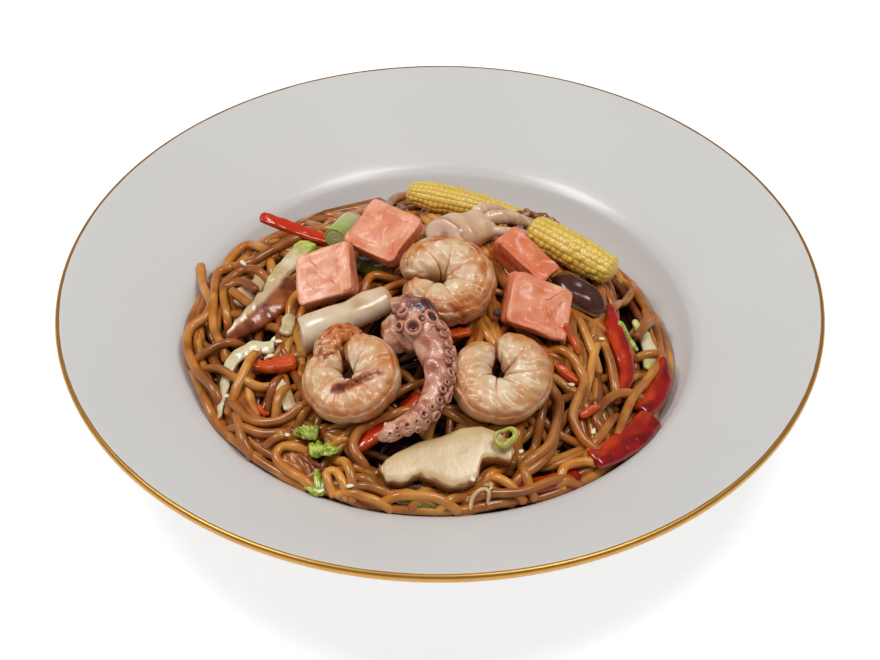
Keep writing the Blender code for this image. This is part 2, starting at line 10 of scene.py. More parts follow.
import bpy
import numpy as np
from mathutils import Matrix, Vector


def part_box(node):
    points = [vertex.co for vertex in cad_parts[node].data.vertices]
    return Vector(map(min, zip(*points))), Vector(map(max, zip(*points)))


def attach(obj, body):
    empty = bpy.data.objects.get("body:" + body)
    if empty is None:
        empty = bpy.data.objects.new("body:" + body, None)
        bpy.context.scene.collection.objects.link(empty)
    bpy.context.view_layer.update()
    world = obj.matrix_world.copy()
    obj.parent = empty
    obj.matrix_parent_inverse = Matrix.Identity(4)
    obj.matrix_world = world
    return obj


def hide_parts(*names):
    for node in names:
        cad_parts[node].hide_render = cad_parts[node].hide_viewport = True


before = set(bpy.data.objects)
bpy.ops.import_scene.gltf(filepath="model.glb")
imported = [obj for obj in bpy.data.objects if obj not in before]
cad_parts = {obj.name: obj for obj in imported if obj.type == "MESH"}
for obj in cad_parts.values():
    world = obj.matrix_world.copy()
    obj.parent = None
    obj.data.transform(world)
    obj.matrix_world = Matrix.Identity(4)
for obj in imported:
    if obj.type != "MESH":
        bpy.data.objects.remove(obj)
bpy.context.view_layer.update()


# The view: from the eater's side, a little over 42 degrees down. The plate stands on a plain pale
# table, in a bright room whose walls hardly show in what is wet, under two small lamps high above.
VIEW_DOWN = math.radians(42.27)
VIEW_AWAY = 1.0  # metres from the point looked at
AIM_HEIGHT = 0.0337  # metres
SENSOR_WIDTH = 36.0
PICTURE_WIDTH = 880.0  # pixels
PIXELS_PER_METRE = 2523.0  # at the point looked at
LAMP_WIDTH = 0.34  # metres
LAMP_AIM = 0.04  # metres above the table
ROOM_LIGHT = 0.36
ROOM_MIRRORED = 0.13  # how bright the room shows in what is wet
camera = bpy.data.objects.new("camera", bpy.data.cameras.new("camera"))
camera.data.sensor_width = SENSOR_WIDTH
camera.data.lens = SENSOR_WIDTH * PIXELS_PER_METRE / PICTURE_WIDTH
camera.location = (0, -VIEW_AWAY * math.cos(VIEW_DOWN), AIM_HEIGHT + VIEW_AWAY * math.sin(VIEW_DOWN))
camera.rotation_euler = (math.pi / 2 - VIEW_DOWN, 0, 0)
bpy.context.scene.collection.objects.link(camera)
bpy.context.scene.camera = camera
bpy.context.scene.view_settings.view_transform = "Standard"


def lamp(name, place, power):
    """A square area lamp at a place in metres, turned to shine at the food."""
    made = bpy.data.objects.new(name, bpy.data.lights.new(name, "AREA"))
    made.data.size = LAMP_WIDTH
    made.data.energy = power
    made.location = place
    away = np.array(place) - [0, 0, LAMP_AIM]
    made.rotation_euler = (math.atan2(math.hypot(away[0], away[1]), away[2]), 0,
                           math.atan2(away[1], away[0]) + math.pi / 2)
    bpy.context.scene.collection.objects.link(made)


lamp("lamp_right", (0.3, -0.1, 1.0), 3.9)
lamp("lamp_left", (-0.5, 0.0, 0.95), 4.3)
world = bpy.data.worlds.new("room")
world.use_nodes = True
room_light = world.node_tree.nodes["Background"]
room_light.inputs["Color"].default_value = (1.0, 1.0, 1.0, 1.0)
ray = world.node_tree.nodes.new("ShaderNodeLightPath")
dimmed = world.node_tree.nodes.new("ShaderNodeMapRange")
dimmed.inputs["To Min"].default_value = ROOM_LIGHT
dimmed.inputs["To Max"].default_value = ROOM_MIRRORED
world.node_tree.links.new(ray.outputs["Is Glossy Ray"], dimmed.inputs["Value"])
world.node_tree.links.new(dimmed.outputs["Result"], room_light.inputs["Strength"])
bpy.context.scene.world = world


class Value:
    """A socket of a shader tree. Python's operators on it add Math nodes."""

    def __init__(self, finish, socket):
        self.finish = finish
        self.socket = socket

    def math(self, operation, *others):
        """A Math node over these values and numbers."""
        return self.finish.node("ShaderNodeMath", {"operation": operation}, dict(enumerate(others)))

    def __add__(self, other):
        return self.math("ADD", self, other)

    def __sub__(self, other):
        return self.math("SUBTRACT", self, other)

    def __rsub__(self, other):
        return self.math("SUBTRACT", other, self)

    def __mul__(self, other):
        return self.math("MULTIPLY", self, other)

    __radd__ = __add__
    __rmul__ = __mul__

    def between(self, low, high):
        """0 below low, 1 above high, smooth from one to the other."""
        settings = {"interpolation_type": "SMOOTHSTEP"}
        return self.finish.node("ShaderNodeMapRange", settings, {0: self, 1: low, 2: high, 3: 0.0, 4: 1.0})

    def wave(self):
        """The sine of the value."""
        return self.math("SINE", self)


class Finish:
    """A material, with the Principled shader that its nodes lead to."""

    def __init__(self, name, roughness=0.4, **constants):
        self.material = bpy.data.materials.new(name)
        self.material.use_nodes = True
        self.tree = self.material.node_tree
        self.shader = self.tree.nodes["Principled BSDF"]
        self.set("Roughness", roughness)
        for socket, value in constants.items():
            self.set(socket.replace("_", " "), value)

    def node(self, kind, settings, sockets, output=0):
        """Any node, with its settings and what its sockets get, given back as the value of one output."""
        made = self.tree.nodes.new(kind)
        for key, value in settings.items():
            setattr(made, key, value)
        for key, value in sockets.items():
            self.put(made.inputs[key], value)
        return Value(self, made.outputs[output])

    def put(self, socket, value):
        """Links a value to a socket, or writes a constant into it."""
        if isinstance(value, Value):
            self.tree.links.new(value.socket, socket)
        else:
            socket.default_value = value

    def set(self, socket, value):
        """Gives the Principled shader a value or a constant."""
        self.put(self.shader.inputs[socket], value)

    def place(self):
        """The place on the object, in metres."""
        return self.node("ShaderNodeTexCoord", {}, {}, "Object")

    def number(self, attribute):
        """A number that the mesh carries at each point."""
        return self.node("ShaderNodeAttribute", {"attribute_name": attribute}, {}, "Fac")

    def noise(self, size, detail=3.0, place=None, stretch=None):
        """Soft random values from 0 to 1, whose lumps are about size mm across."""
        place = place or self.place()
        if stretch:
            place = self.node("ShaderNodeMapping", {}, {"Vector": place, "Scale": stretch})
        sockets = {"Vector": place, "Scale": 1000.0 / size, "Detail": detail}
        return self.node("ShaderNodeTexNoise", {}, sockets)

    def mix(self, share, first, second):
        """One colour over another by a share. A colour is a value or three screen levels, 0 to 255."""
        colours = [c if isinstance(c, Value) else (*srgb(*c), 1.0) for c in (first, second)]
        return self.node("ShaderNodeMix", {"data_type": "RGBA"}, {0: share, 6: colours[0], 7: colours[1]}, 2)

    def bump(self, height, depth, under=None):
        """A relief of a height from 0 to 1 that stands for depth mm."""
        sockets = {"Height": height, "Distance": depth * 0.001, "Strength": 1.0}
        if under:
            sockets["Normal"] = under
        return self.node("ShaderNodeBump", {}, sockets)

    def mottled(self, first, second, size, detail=3.0, low=None, high=None):
        """Two colours in soft patches, which low and high draw further apart."""
        share = self.noise(size, detail)
        return self.mix(share if low is None else share.between(low, high), first, second)

    def spotted(self, under, spots, size, detail, low, high, strength):
        """A colour with spots of another over it, where noise rises from low to high."""
        return self.mix(self.noise(size, detail).between(low, high) * strength, under, spots)

    def relief(self, *layers):
        """Sets the surface uneven by layers of noise: size and detail of its lumps, and depth in mm."""
        normal = None
        for size, detail, depth in layers:
            normal = self.bump(self.noise(size, detail), depth, normal)
        self.set("Normal", normal)


def srgb(*levels):
    """A colour given by its screen levels, 0 to 255, as linear shares."""
    shares = [level / 255.0 for level in levels]
    return tuple(s / 12.92 if s <= 0.04045 else ((s + 0.055) / 1.055) ** 2.4 for s in shares)


TABLE_SIZE = 3.0  # metres
table_mesh = bpy.data.meshes.new("table")
corners = [(x * TABLE_SIZE, y * TABLE_SIZE, -0.0002) for x, y in [(-1, -1), (1, -1), (1, 1), (-1, 1)]]
table_mesh.from_pydata(corners, [], [(0, 1, 2, 3)])
table = bpy.data.objects.new("table", table_mesh)
bpy.context.scene.collection.objects.link(table)
table_finish = Finish("table_top", 0.7, Emission_Color=(1.0, 1.0, 1.0, 1.0), Emission_Strength=0.5)
table_finish.set("Base Color", (0.75, 0.75, 0.75, 1.0))
table_mesh.materials.append(table_finish.material)


# The plate: white glazed porcelain, turned in one piece with a foot ring, a deep well, a wide rim and
# a painted gold edge.
def skin(name, rings, finish, numbers=None, replaces=(), close=True):
    """A closed skin over a grid of points in mm: rows follow each other, columns go round.

    Each four neighbours make a face, the last column meets the first, and each end row closes on its
    mean point. Many grids of one size may come at once, stacked first. The faces are turned outwards by
    the sign of the enclosed volume. The UV map is the share along the rows and round the columns.
    """
    rings = rings if rings.ndim == 4 else rings[None]
    copies, rows, columns, _ = rings.shape
    i, j = (a.ravel() for a in np.meshgrid(np.arange(rows - 1), np.arange(columns), indexing="ij"))
    k = (j + 1) % columns
    quads = np.stack([i * columns + j, i * columns + k, (i + 1) * columns + k, (i + 1) * columns + j], 1)
    quad_uv = np.stack([np.stack([i, j], 1), np.stack([i, j + 1], 1),
                        np.stack([i + 1, j + 1], 1), np.stack([i + 1, j], 1)], 1)
    j = np.arange(columns)
    k = (j + 1) % columns
    first = rows * columns
    fans = np.vstack([np.stack([j, 0 * j + first, k], 1),
                      np.stack([k, 0 * j + first + 1, j],
                               1) + np.array([first - columns, 0, first - columns])])
    fan_uv = np.stack([np.stack([0 * j, j], 1), np.stack([0 * j, j + 0.5], 1), np.stack([0 * j, j + 1], 1)],
                      1)
    fan_uv = np.vstack([fan_uv, fan_uv[:, ::-1] + np.array([rows - 1, 0])])
    points = rings.reshape(copies, -1, 3)
    if close:
        points = np.concatenate([points, rings[:, :1].mean(2), rings[:, -1:].mean(2)], 1)
    else:
        fans, fan_uv = fans[:0], fan_uv[:0]
    a, b, c, d = (points[0][quads[:, n]] - points[0].mean(0) for n in range(4))
    volume = (np.cross(b, c) * a).sum() + (np.cross(c, d) * a).sum()
    if volume < 0:
        quads, fans, quad_uv, fan_uv = quads[:, ::-1], fans[:, ::-1], quad_uv[:, ::-1], fan_uv[:, ::-1]
    stride = points.shape[1] * np.arange(copies)[:, None, None]
    uvs = np.concatenate([np.tile(quad_uv.reshape(-1, 2), (copies, 1)),
                          np.tile(fan_uv.reshape(-1, 2), (copies, 1))])
    flat = {}
    for label, values in (numbers or {}).items():
        values = np.broadcast_to(values, (copies, rows, columns)).astype(np.float32)
        flat[label] = values.reshape(copies, -1)
        if close:
            flat[label] = np.concatenate([flat[label], values[:, :1].mean(2), values[:, -1:].mean(2)], 1)
    make_piece(name, points.reshape(-1, 3), (quads + stride).reshape(-1, 4), (fans + stride).reshape(-1, 3),
               uvs / [rows - 1, columns], flat, finish, replaces)


def make_piece(name, points, quads, fans, uvs, numbers, finish, replaces):
    """Puts a smooth mesh into the scene, as a piece that rides on the plated meal.

    Points are in mm. The four-sided faces come first, with a UV for each corner and numbers for each point.
    """
    loops = np.concatenate([quads.ravel(), fans.ravel()]).astype(np.int32)
    starts = np.concatenate([np.arange(len(quads)) * 4, quads.size + np.arange(len(fans)) * 3])
    mesh = bpy.data.meshes.new(name)
    mesh.vertices.add(len(points))
    mesh.vertices.foreach_set("co", (points * 0.001).ravel().astype(np.float32))
    mesh.loops.add(len(loops))
    mesh.loops.foreach_set("vertex_index", loops)
    mesh.polygons.add(len(starts))
    mesh.polygons.foreach_set("loop_start", starts.astype(np.int32))
    mesh.update(calc_edges=True)
    mesh.uv_layers.new(name="along_round").data.foreach_set("uv", uvs.astype(np.float32).ravel())
    for label, values in numbers.items():
        mesh.attributes.new(label, "FLOAT", "POINT").data.foreach_set("value",
                                                                      values.astype(np.float32).ravel())
    mesh.shade_smooth()
    mesh.materials.append(finish.material)
    made = bpy.data.objects.new(name, mesh)
    bpy.context.scene.collection.objects.link(made)
    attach(made, "root")
    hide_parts(*replaces)


PLATE_HEIGHT = 54.0
WELL = [(0, 8), (62, 8), (76, 10.5), (88, 17.5), (96, 26.5), (100, 32.2), (103, 34.6), (107, 36.6),
        (147.5, 53.5)]
RIM_AND_UNDERSIDE = [(148.8, 54.0), (150, 52.8), (149.7, 50.6), (146, 47.8), (108.5, 32.1), (104, 27.6),
                     (92, 13.5), (80, 5.5), (66, 3), (64, 0), (59, 0), (57.5, 2.4), (0, 2.4)]
PLATE_STEPS = 200


def well_height(radius):
    """Height of the plate's upper surface at a radius."""
    radii, heights = np.array(WELL, float).T
    return np.interp(radius, radii, heights)


def rounded(points, spacing, softness):
    """A line through points, resampled at a spacing, whose corners are softened by a Gaussian mean."""
    points = np.array(points, float)
    length = np.concatenate([[0], np.cumsum(np.linalg.norm(np.diff(points, axis=0), axis=1))])
    wanted = np.linspace(0, length[-1], int(length[-1] / spacing) + 2)
    line = np.stack([np.interp(wanted, length, points[:, n]) for n in range(points.shape[1])], 1)
    reach = int(3 * softness / spacing) + 1
    weights = np.exp(-0.5 * (np.arange(-reach, reach + 1) * spacing / softness) ** 2)
    weights /= weights.sum()
    padded = np.vstack([np.repeat(line[:1], reach, 0), line, np.repeat(line[-1:], reach, 0)])
    soft = np.stack([np.convolve(padded[:, n], weights, "valid") for n in range(points.shape[1])], 1)
    soft[0], soft[-1] = line[0], line[-1]
    return soft


profile = rounded(WELL + RIM_AND_UNDERSIDE, 0.5, 0.9)
bends = np.concatenate([[0], np.abs(np.diff(np.arctan2(*np.diff(profile, axis=0).T))), [0]])
kept = np.unique(np.concatenate([np.arange(0, len(profile), 5), np.flatnonzero(bends > 0.03),
                                 [len(profile) - 1]]))
profile = profile[kept]
profile[:, 1] = np.clip(profile[:, 1], 0, PLATE_HEIGHT)
turns = np.linspace(0, 2 * np.pi, PLATE_STEPS, endpoint=False)
plate_rings = np.stack([profile[:, :1] * np.cos(turns), profile[:, :1] * np.sin(turns),
                        np.repeat(profile[:, 1:], PLATE_STEPS, 1)], 2)

porcelain = Finish("porcelain", 0.26, Coat_Weight=0.08, Coat_Roughness=0.12)
spot = porcelain.place()
level = porcelain.node("ShaderNodeSeparateXYZ", {}, {"Vector": spot}, "Z")
flat_spot = porcelain.node("ShaderNodeVectorMath", {"operation": "MULTIPLY"}, {0: spot, 1: (1, 1, 0)})
out = porcelain.node("ShaderNodeVectorMath", {"operation": "LENGTH"}, {0: flat_spot}, "Value")
ragged = (porcelain.noise(7.0, 2.0) - 0.5) * 0.0004
gilt = (out + ragged).between(0.14795, 0.1481) * (level + ragged).between(0.0502, 0.0504)
glaze = porcelain.mottled((207, 205, 202), (212, 211, 209), 60.0, 2.0)
gold = porcelain.mottled((196, 138, 58), (214, 166, 88), 9.0, 3.0)
porcelain.set("Base Color", porcelain.mix(gilt, glaze, gold))
porcelain.set("Metallic", gilt * 0.75)
porcelain.set("Roughness", 0.26 + gilt * 0.1)
porcelain.relief((25.0, 2.0, 0.05))
skin("plate_glazed", plate_rings, porcelain, replaces=["plate"])


# The heap: fried wheat noodles, dark with sauce, lying in the well over one another. A lumpy core fills the
# space under them, so that the gaps between noodles are deep but never empty.
# The core is painted near-black brown as the shade deep in those gaps, with a sauce-brown rim at the wall.
HEAP_PEAK = 56.0
HEAP_RADIUS = 95.0
HEAP_SHIFT = 6.0
CORE_DEPTH = 9.5  # from the heap's top down to the core


def heap_reach(bearing):
    """Radius of the heap in one direction: it reaches furthest to the front left."""
    return HEAP_RADIUS - HEAP_SHIFT * np.cos(bearing - np.pi / 4)


def heap_height(x, y):
    """Height of the heap's top: a dome that falls to the well's wall at the heap's reach."""
    reach = heap_reach(np.arctan2(y, x))
    edge = well_height(reach) + 1.0
    share = np.minimum(np.hypot(x, y) / reach, 1.0)
    return edge + (HEAP_PEAK - edge) * (1.0 - share**2) ** 0.95


def lumps(x, y, size, seed):
    """Smooth random values about 0 with a spread of about 1: a sum of sixteen plane waves."""
    draw = np.random.default_rng(seed)
    bearing = draw.uniform(0, 2 * np.pi, 16)
    pitch = draw.uniform(0.6, 1.6, 16) * 2 * np.pi / size
    phase = draw.uniform(0, 2 * np.pi, 16)
    place = np.asarray(x)[..., None] * np.cos(bearing) + np.asarray(y)[..., None] * np.sin(bearing)
    return np.sin(place * pitch + phase).sum(-1) / 2.8


def core_height(x, y):
    """Top of the core: the heap's top less a depth, uneven, and never into the well's wall."""
    top = heap_height(x, y) - CORE_DEPTH + 1.2 * lumps(x, y, 9.0, 1)
    return np.maximum(top, well_height(np.hypot(x, y)) + 0.4)


turns = np.linspace(0, 2 * np.pi, 128, endpoint=False)
shares = np.concatenate([np.linspace(0.01, 1.0, 60), np.linspace(0.99, 0.01, 16)])[:, None]
reach = (heap_reach(turns) - 0.6) * shares
x, y = reach * np.cos(turns), reach * np.sin(turns)
z = core_height(x, y)
z[50:60] = np.maximum(z[50:60], well_height(reach[50:60]) + 0.9)
z[60:] = well_height(reach[60:]) + 0.35
# Painted shade: the core's near-black browns stand for the shade deep between the noodles. Only its rim,
# against the wall, is sauce-brown.
sauce = Finish("sauce_and_shade_core", 0.25)
sauce.set("Base Color", sauce.mix(sauce.number("rim"), sauce.mottled((30, 12, 4), (78, 36, 12), 6.0),
                                  (132, 72, 28)))
sauce.relief((3.0, 3.0, 0.6))
skin("heap_core", np.stack([x, y, z], 2), sauce, {"rim": np.clip((shares - 0.93) / 0.05, 0, 1)},
     ["noodles"])


# The noodles themselves: square-cut and swollen round, about 3.7 mm thick and limp, combed by the pan
# into sweeps that follow each other. The lower ones fill the well and the traced ones lie on top.
NOODLE_RADIUS = 1.85
STEP = 2.4  # along a noodle
CELL = 0.5  # of the height map that noodles are laid on
HALF = 110.0  # of the height map
OPEN_AIR = 999.0  # the ceiling's height where no solid lies over the heap
GOLDEN_TURN = 2.39996  # from one noodle's start to the next, so that they spread evenly
# The noodles on top, as they run in the photo and in the order in which they are laid: x and y along each.
TRACED = {
    "end_left_high": [(-97, 35), (-95, 22), (-91, 9)],
    "back_left_b": [(-72, 41), (-78, 49), (-83, 47), (-86, 39)],
    "back_left_a": [(-58, 41), (-68, 36), (-77, 30), (-86, 32)],
    "left_down": [(-90, 14), (-89, -6), (-85, -18)],
    "left_c": [(-85, 15), (-80, 16), (-76, 12), (-73, 8)],
    "left_d": [(-82, 9), (-78, 4), (-73, -2)],
    "loop_left_inner": [(-69, 17), (-78, 25), (-85, 20), (-86, 11), (-84, 0), (-83, -7)],
    "loop_left_outer": [(-85, 31), (-90, 28), (-90, 12), (-92, 0), (-98, -5), (-99, -13), (-97, -22),
                        (-93, -32), (-87, -41)],
    "left_f": [(-91, -28), (-84, -33), (-76, -40), (-69, -44), (-63, -43)],
    "left_e": [(-93, -23), (-87, -21), (-81, -19)],
    "left_g": [(-72, -31), (-75, -39), (-78, -46)],
    "left_h": [(-61, -41), (-64, -47), (-65, -53)],
    "left_i": [(-58, -46), (-61, -53), (-62, -60)],
    "front_b": [(-74, -63), (-67, -67), (-59, -68), (-54, -64), (-50, -59)],
    "front_a": [(-77, -53), (-72, -60), (-65, -63), (-57, -62), (-50, -57)],
    "front_c": [(-59, -69), (-53, -67), (-46, -65)],
    "front_e": [(-76, -60), (-74, -68), (-70, -74)],
    "front_loop": [(-41, -72), (-46, -73), (-53, -74), (-59, -74), (-61, -78), (-58, -82), (-52, -86),
                   (-48, -89)],
    "front_f": [(-33, -84), (-26, -86), (-19, -89)],
    "front_i": [(-32, -95), (-24, -98), (-14, -100)],
    "front_h": [(-28, -93), (-19, -95), (-7, -97)],
    "front_g": [(-28, -90), (-20, -94), (-11, -96)],
    "front_u": [(-34, -96), (-36, -90), (-39, -85), (-42, -86), (-41, -90), (-38, -95)],
    "front_d": [(-40, -74), (-38, -79), (-35, -83), (-33, -88), (-32, -93), (-32, -97)],
    "arm_loop": [(-10, -64), (-17, -66), (-24, -66), (-29, -70), (-32, -76), (-31, -81), (-27, -85),
                 (-23, -85)],
    "right_f": [(64, -21), (66, -29), (67, -37)],
    "right_g": [(51, -13), (51, -21), (50, -29)],
    "right_a": [(50, -6), (55, -15), (59, -27)],
    "right_c": [(60, -25), (58, -34), (56, -43)],
    "right_e": [(78, -5), (85, 8)],
    "right_loop": [(73, -40), (66, -44), (61, -51), (59, -57), (61, -60)],
    "right_great": [(40, -26), (47, -30), (52, -35), (55, -43), (52, -51), (50, -58), (53, -65), (56, -68),
                    (61, -70), (66, -66), (68, -58), (72, -46), (78, -33), (85, -20), (87, -13), (82, -14)],
    "right_b": [(65, -55), (62, -61), (58, -67)],
    "low_j": [(18, -94), (30, -92), (39, -87), (45, -84)],
    "low_h": [(-15, -97), (-4, -97), (4, -99)],
    "low_e": [(39, -56), (37, -66), (34, -73), (29, -77)],
    "low_d": [(44, -57), (43, -68), (40, -76), (36, -81), (32, -84)],
    "right_d": [(42, -48), (45, -54), (44, -62), (41, -72), (37, -77), (32, -81)],
    "low_c": [(24, -78), (19, -82), (13, -86), (8, -89)],
    "low_i": [(-1, -90), (-6, -95)],
    "low_f": [(21, -87), (26, -90), (33, -95)],
    "low_g": [(47, -84), (53, -82), (58, -78), (62, -75)],
    "low_yellow": [(46, -88), (45, -83), (47, -78), (53, -75), (60, -74), (65, -72), (69, -64)],
    "low_b": [(29, -70), (27, -76), (22, -82), (15, -88), (9, -93), (4, -97), (-1, -100)],
    "low_a": [(30, -65), (29, -74), (31, -83), (33, -89), (36, -94)],
    "back_a": [(-23, 60), (-19, 81), (-14, 88)],
    "back_b": [(23, 19), (27, 15), (31, 10)],
    "back_c": [(-30, -4), (-27, 4), (-21, 5)],
}


def curve_through(points, spacing):
    """Points at an even spacing along the Catmull-Rom curve through a few points."""
    points = np.array(points, float)
    ends = np.vstack([2 * points[0] - points[1], points, 2 * points[-1] - points[-2]])
    spans = len(points) - 1
    t = np.linspace(0, spans, spans * 16 + 1)
    span = np.minimum(t.astype(int), spans - 1)
    u = (t - span)[:, None]
    a, b, c, d = (ends[span + k] for k in range(4))
    curve = 0.5 * (2 * b + (c - a) * u + (2 * a - 5 * b + 4 * c - d) * u**2 + (3 * b - a - 3 * c + d) * u**3)
    length = np.concatenate([[0], np.cumsum(np.linalg.norm(np.diff(curve, axis=0), axis=1))])
    wanted = np.linspace(0, length[-1], max(int(length[-1] / spacing) + 1, 4))
    return np.stack([np.interp(wanted, length, curve[:, n]) for n in range(curve.shape[1])], 1)


def ways_out(line):
    """The way along a line, the level way to its right and the way up from it, at each of its points."""
    along = np.gradient(line, axis=0)
    along /= np.linalg.norm(along, axis=1, keepdims=True)
    side = np.cross(along, [0, 0, 1.0])
    side /= np.linalg.norm(side, axis=1, keepdims=True)
    return along, side, np.cross(side, along)


def circle(count):
    """Even bearings round a circle."""
    return np.arange(count) * 2 * np.pi / count


def room(places):
    """How far inside the heap's reach each place lies."""
    return heap_reach(np.arctan2(places[:, 1], places[:, 0])) - np.hypot(places[:, 0], places[:, 1])


def cells(places):
    """Row and column of the height map's cells at places."""
    grid = np.rint((np.asarray(places)[..., :2] + HALF) / CELL).astype(int)
    return np.clip(grid, 0, int(2 * HALF / CELL))


def solid_points(node):
    """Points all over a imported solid's faces, half a millimetre apart or less."""
    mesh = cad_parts[node].data
    mesh.calc_loop_triangles()
    corners = np.array([v.co for v in mesh.vertices]) * 1000.0
    faces = corners[np.array([t.vertices for t in mesh.loop_triangles])]
    steps = 15
    a, b = (g.ravel() / steps for g in np.meshgrid(np.arange(steps + 1), np.arange(steps + 1)))
    inside = a + b <= 1.0
    a, b = a[inside, None], b[inside, None]
    return (faces[:, None, 0] * (1 - a - b) + faces[:, None, 1] * a + faces[:, None, 2] * b).reshape(-1, 3)


def eased(height):
    """Heights along a way, each drawn halfway towards its neighbours."""
    padded = np.concatenate([height[:1], height, height[-1:]])
    return 0.25 * padded[:-2] + 0.5 * padded[1:-1] + 0.25 * padded[2:]


def ceiling_of(nodes):
    """The lowest point of any of these solids over each cell, or the open air."""
    roof = np.full(pile.shape, OPEN_AIR)
    for node in nodes:
        spots = solid_points(node)
        np.minimum.at(roof, tuple(cells(spots).T), spots[:, 2])
    return roof


def pile_up(nodes):
    """Raises the pile to the tops of these solids."""
    for node in nodes:
        spots = solid_points(node)
        np.maximum.at(pile, tuple(cells(spots).T), spots[:, 2])


axis = np.arange(-HALF, HALF + CELL / 2, CELL)
grid_x, grid_y = np.meshgrid(axis, axis, indexing="ij")
pile = np.maximum(core_height(grid_x, grid_y), well_height(np.hypot(grid_x, grid_y)))
ON_TOP = ("shrimp", "salmon", "squid", "octopus", "mushroom_front", "corn", "shiitake_right", "scallion")
toppings = [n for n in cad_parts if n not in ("plate", "noodles")]
upper = [n for n in toppings if n.startswith(ON_TOP)]
lower = [n for n in toppings if not n.startswith(ON_TOP)]
ceiling = ceiling_of(toppings)
disc = np.array([(i, j) for i in range(-4, 5) for j in range(-4, 5) if math.hypot(i,
                                                                                  j) * CELL < NOODLE_RADIUS])
disc_rise = np.sqrt(NOODLE_RADIUS**2 - (np.hypot(*disc.T) * CELL) ** 2)


def combing():
    """Places and bearings of the traced noodles, which the others run along."""
    lines = [curve_through(route, 6.0) for route in TRACED.values()]
    places = np.vstack([(line[1:] + line[:-1]) / 2 for line in lines])
    steps = np.vstack([np.diff(line, axis=0) for line in lines])
    return places, np.arctan2(steps[:, 1], steps[:, 0])


comb_places, comb_bearings = combing()


def run_along(starts, bearings, lengths, looseness, draw):
    """Ways of many noodles at once: each step turns towards the nearest traced noodles' bearing.

    Near the heap's edge it turns along the edge instead. A bend of its own drifts at random.
    """
    place = starts.copy()
    bearing = bearings.copy()
    bend = draw.normal(0, 0.03, len(starts))
    ways = [place.copy()]
    for _ in range(int(lengths.max() / STEP)):
        gap = ((place[:, None] - comb_places) ** 2).sum(2)
        weight = 1.0 / (gap + 40.0) ** 2
        across = (weight * np.sin(2 * comb_bearings)).sum(1)
        along = (weight * np.cos(2 * comb_bearings)).sum(1)
        wanted = 0.5 * np.arctan2(across, along)
        out = np.arctan2(place[:, 1], place[:, 0])
        share = np.hypot(*place.T) / heap_reach(out)
        edge = np.clip((share - 0.85) / 0.13, 0, 1)
        off = (wanted - bearing + np.pi / 2) % np.pi - np.pi / 2
        rim = (out + np.pi / 2 - bearing + np.pi / 2) % np.pi - np.pi / 2
        inward = np.clip((share - 0.95) * 6, 0, 1) * np.sign(np.sin(out + np.pi - bearing))
        bend = 0.9 * bend + draw.normal(0, 0.03, len(starts)) * looseness
        bearing = bearing + bend + 0.12 * off * (1 - edge) + 0.3 * rim * edge + 0.35 * inward
        place = place + STEP * np.stack([np.cos(bearing), np.sin(bearing)], 1)
        ways.append(place.copy())
    return np.stack(ways, 1)


def draped(way, radius, cap):
    """Height of a noodle's middle along its way: it rests on the pile and bridges its dips.

    It stays under the solids above it, and no more than cap over the heap's top.
    """
    spots = np.clip(cells(way)[:, None] + disc, 0, pile.shape[0] - 1)
    rise = (pile[spots[..., 0], spots[..., 1]] + disc_rise * radius / NOODLE_RADIUS).max(1) - 0.25
    highest = heap_height(way[:, 0], way[:, 1]) + cap
    rise = np.minimum(rise, np.maximum(highest, well_height(np.hypot(*way.T)) + radius + 0.3))
    height = rise
    for _ in range(5):
        height = np.maximum(rise, eased(height))
    roof = ceiling[spots[..., 0], spots[..., 1]].min(1) - radius - 0.1
    for _ in range(4):
        height = eased(np.minimum(height, roof))
    height = np.minimum(height, roof)
    out = np.hypot(*way.T)
    slope = well_height(out + 0.5) - well_height(out - 0.5)
    return np.maximum(height, well_height(out) + radius * 0.95 * np.sqrt(1 + slope**2))


def sunk(way, height, depth):
    """Lets both ends of a noodle dive by a depth over their last 8 mm, clear of the wall."""
    run = np.concatenate([[0], np.cumsum(np.linalg.norm(np.diff(way, axis=0), axis=1))])
    left = np.clip(1 - np.minimum(run, run[-1] - run) / 8.0, 0, 1)
    return np.maximum(height - depth * left**2, well_height(np.hypot(*way.T)) + 1.6)


def lay(noodles, way, radius, shade, cap, depth):
    """Lays a noodle on the pile, which it raises, and adds its line, radius and shade to a list."""
    height = sunk(way, draped(way, radius, cap), depth)
    spots = np.clip(cells(way)[:, None] + disc, 0, pile.shape[0] - 1)
    np.maximum.at(pile, (spots[..., 0], spots[..., 1]), height[:, None] + disc_rise * radius / NOODLE_RADIUS)
    noodles.append((np.column_stack([way, height]), radius, shade))


SIDES = 8
ROUND = circle(SIDES) + np.pi / 8
ROUND_END = [(0.93, 0.3), (0.72, 0.55), (0.4, 0.68)]  # shares of the radius: ring size, way past the end


def noodle_rings(line, radius):
    """Eight-sided rings round a line, softly square, with cut ends that close a little rounded."""
    along, side, lift = ways_out(line)
    rings = (line[:, None] + radius * (side[:, None] * np.cos(ROUND)[:, None]
                                       + lift[:, None] * np.sin(ROUND)[:, None]))
    caps = []
    for end, way in ((0, -along[0]), (-1, along[-1])):
        spokes = rings[end] - line[end]
        caps.append([line[end] + spokes * share + way * radius * out for share, out in ROUND_END])
    return np.concatenate([caps[0][::-1], rings, caps[1]])


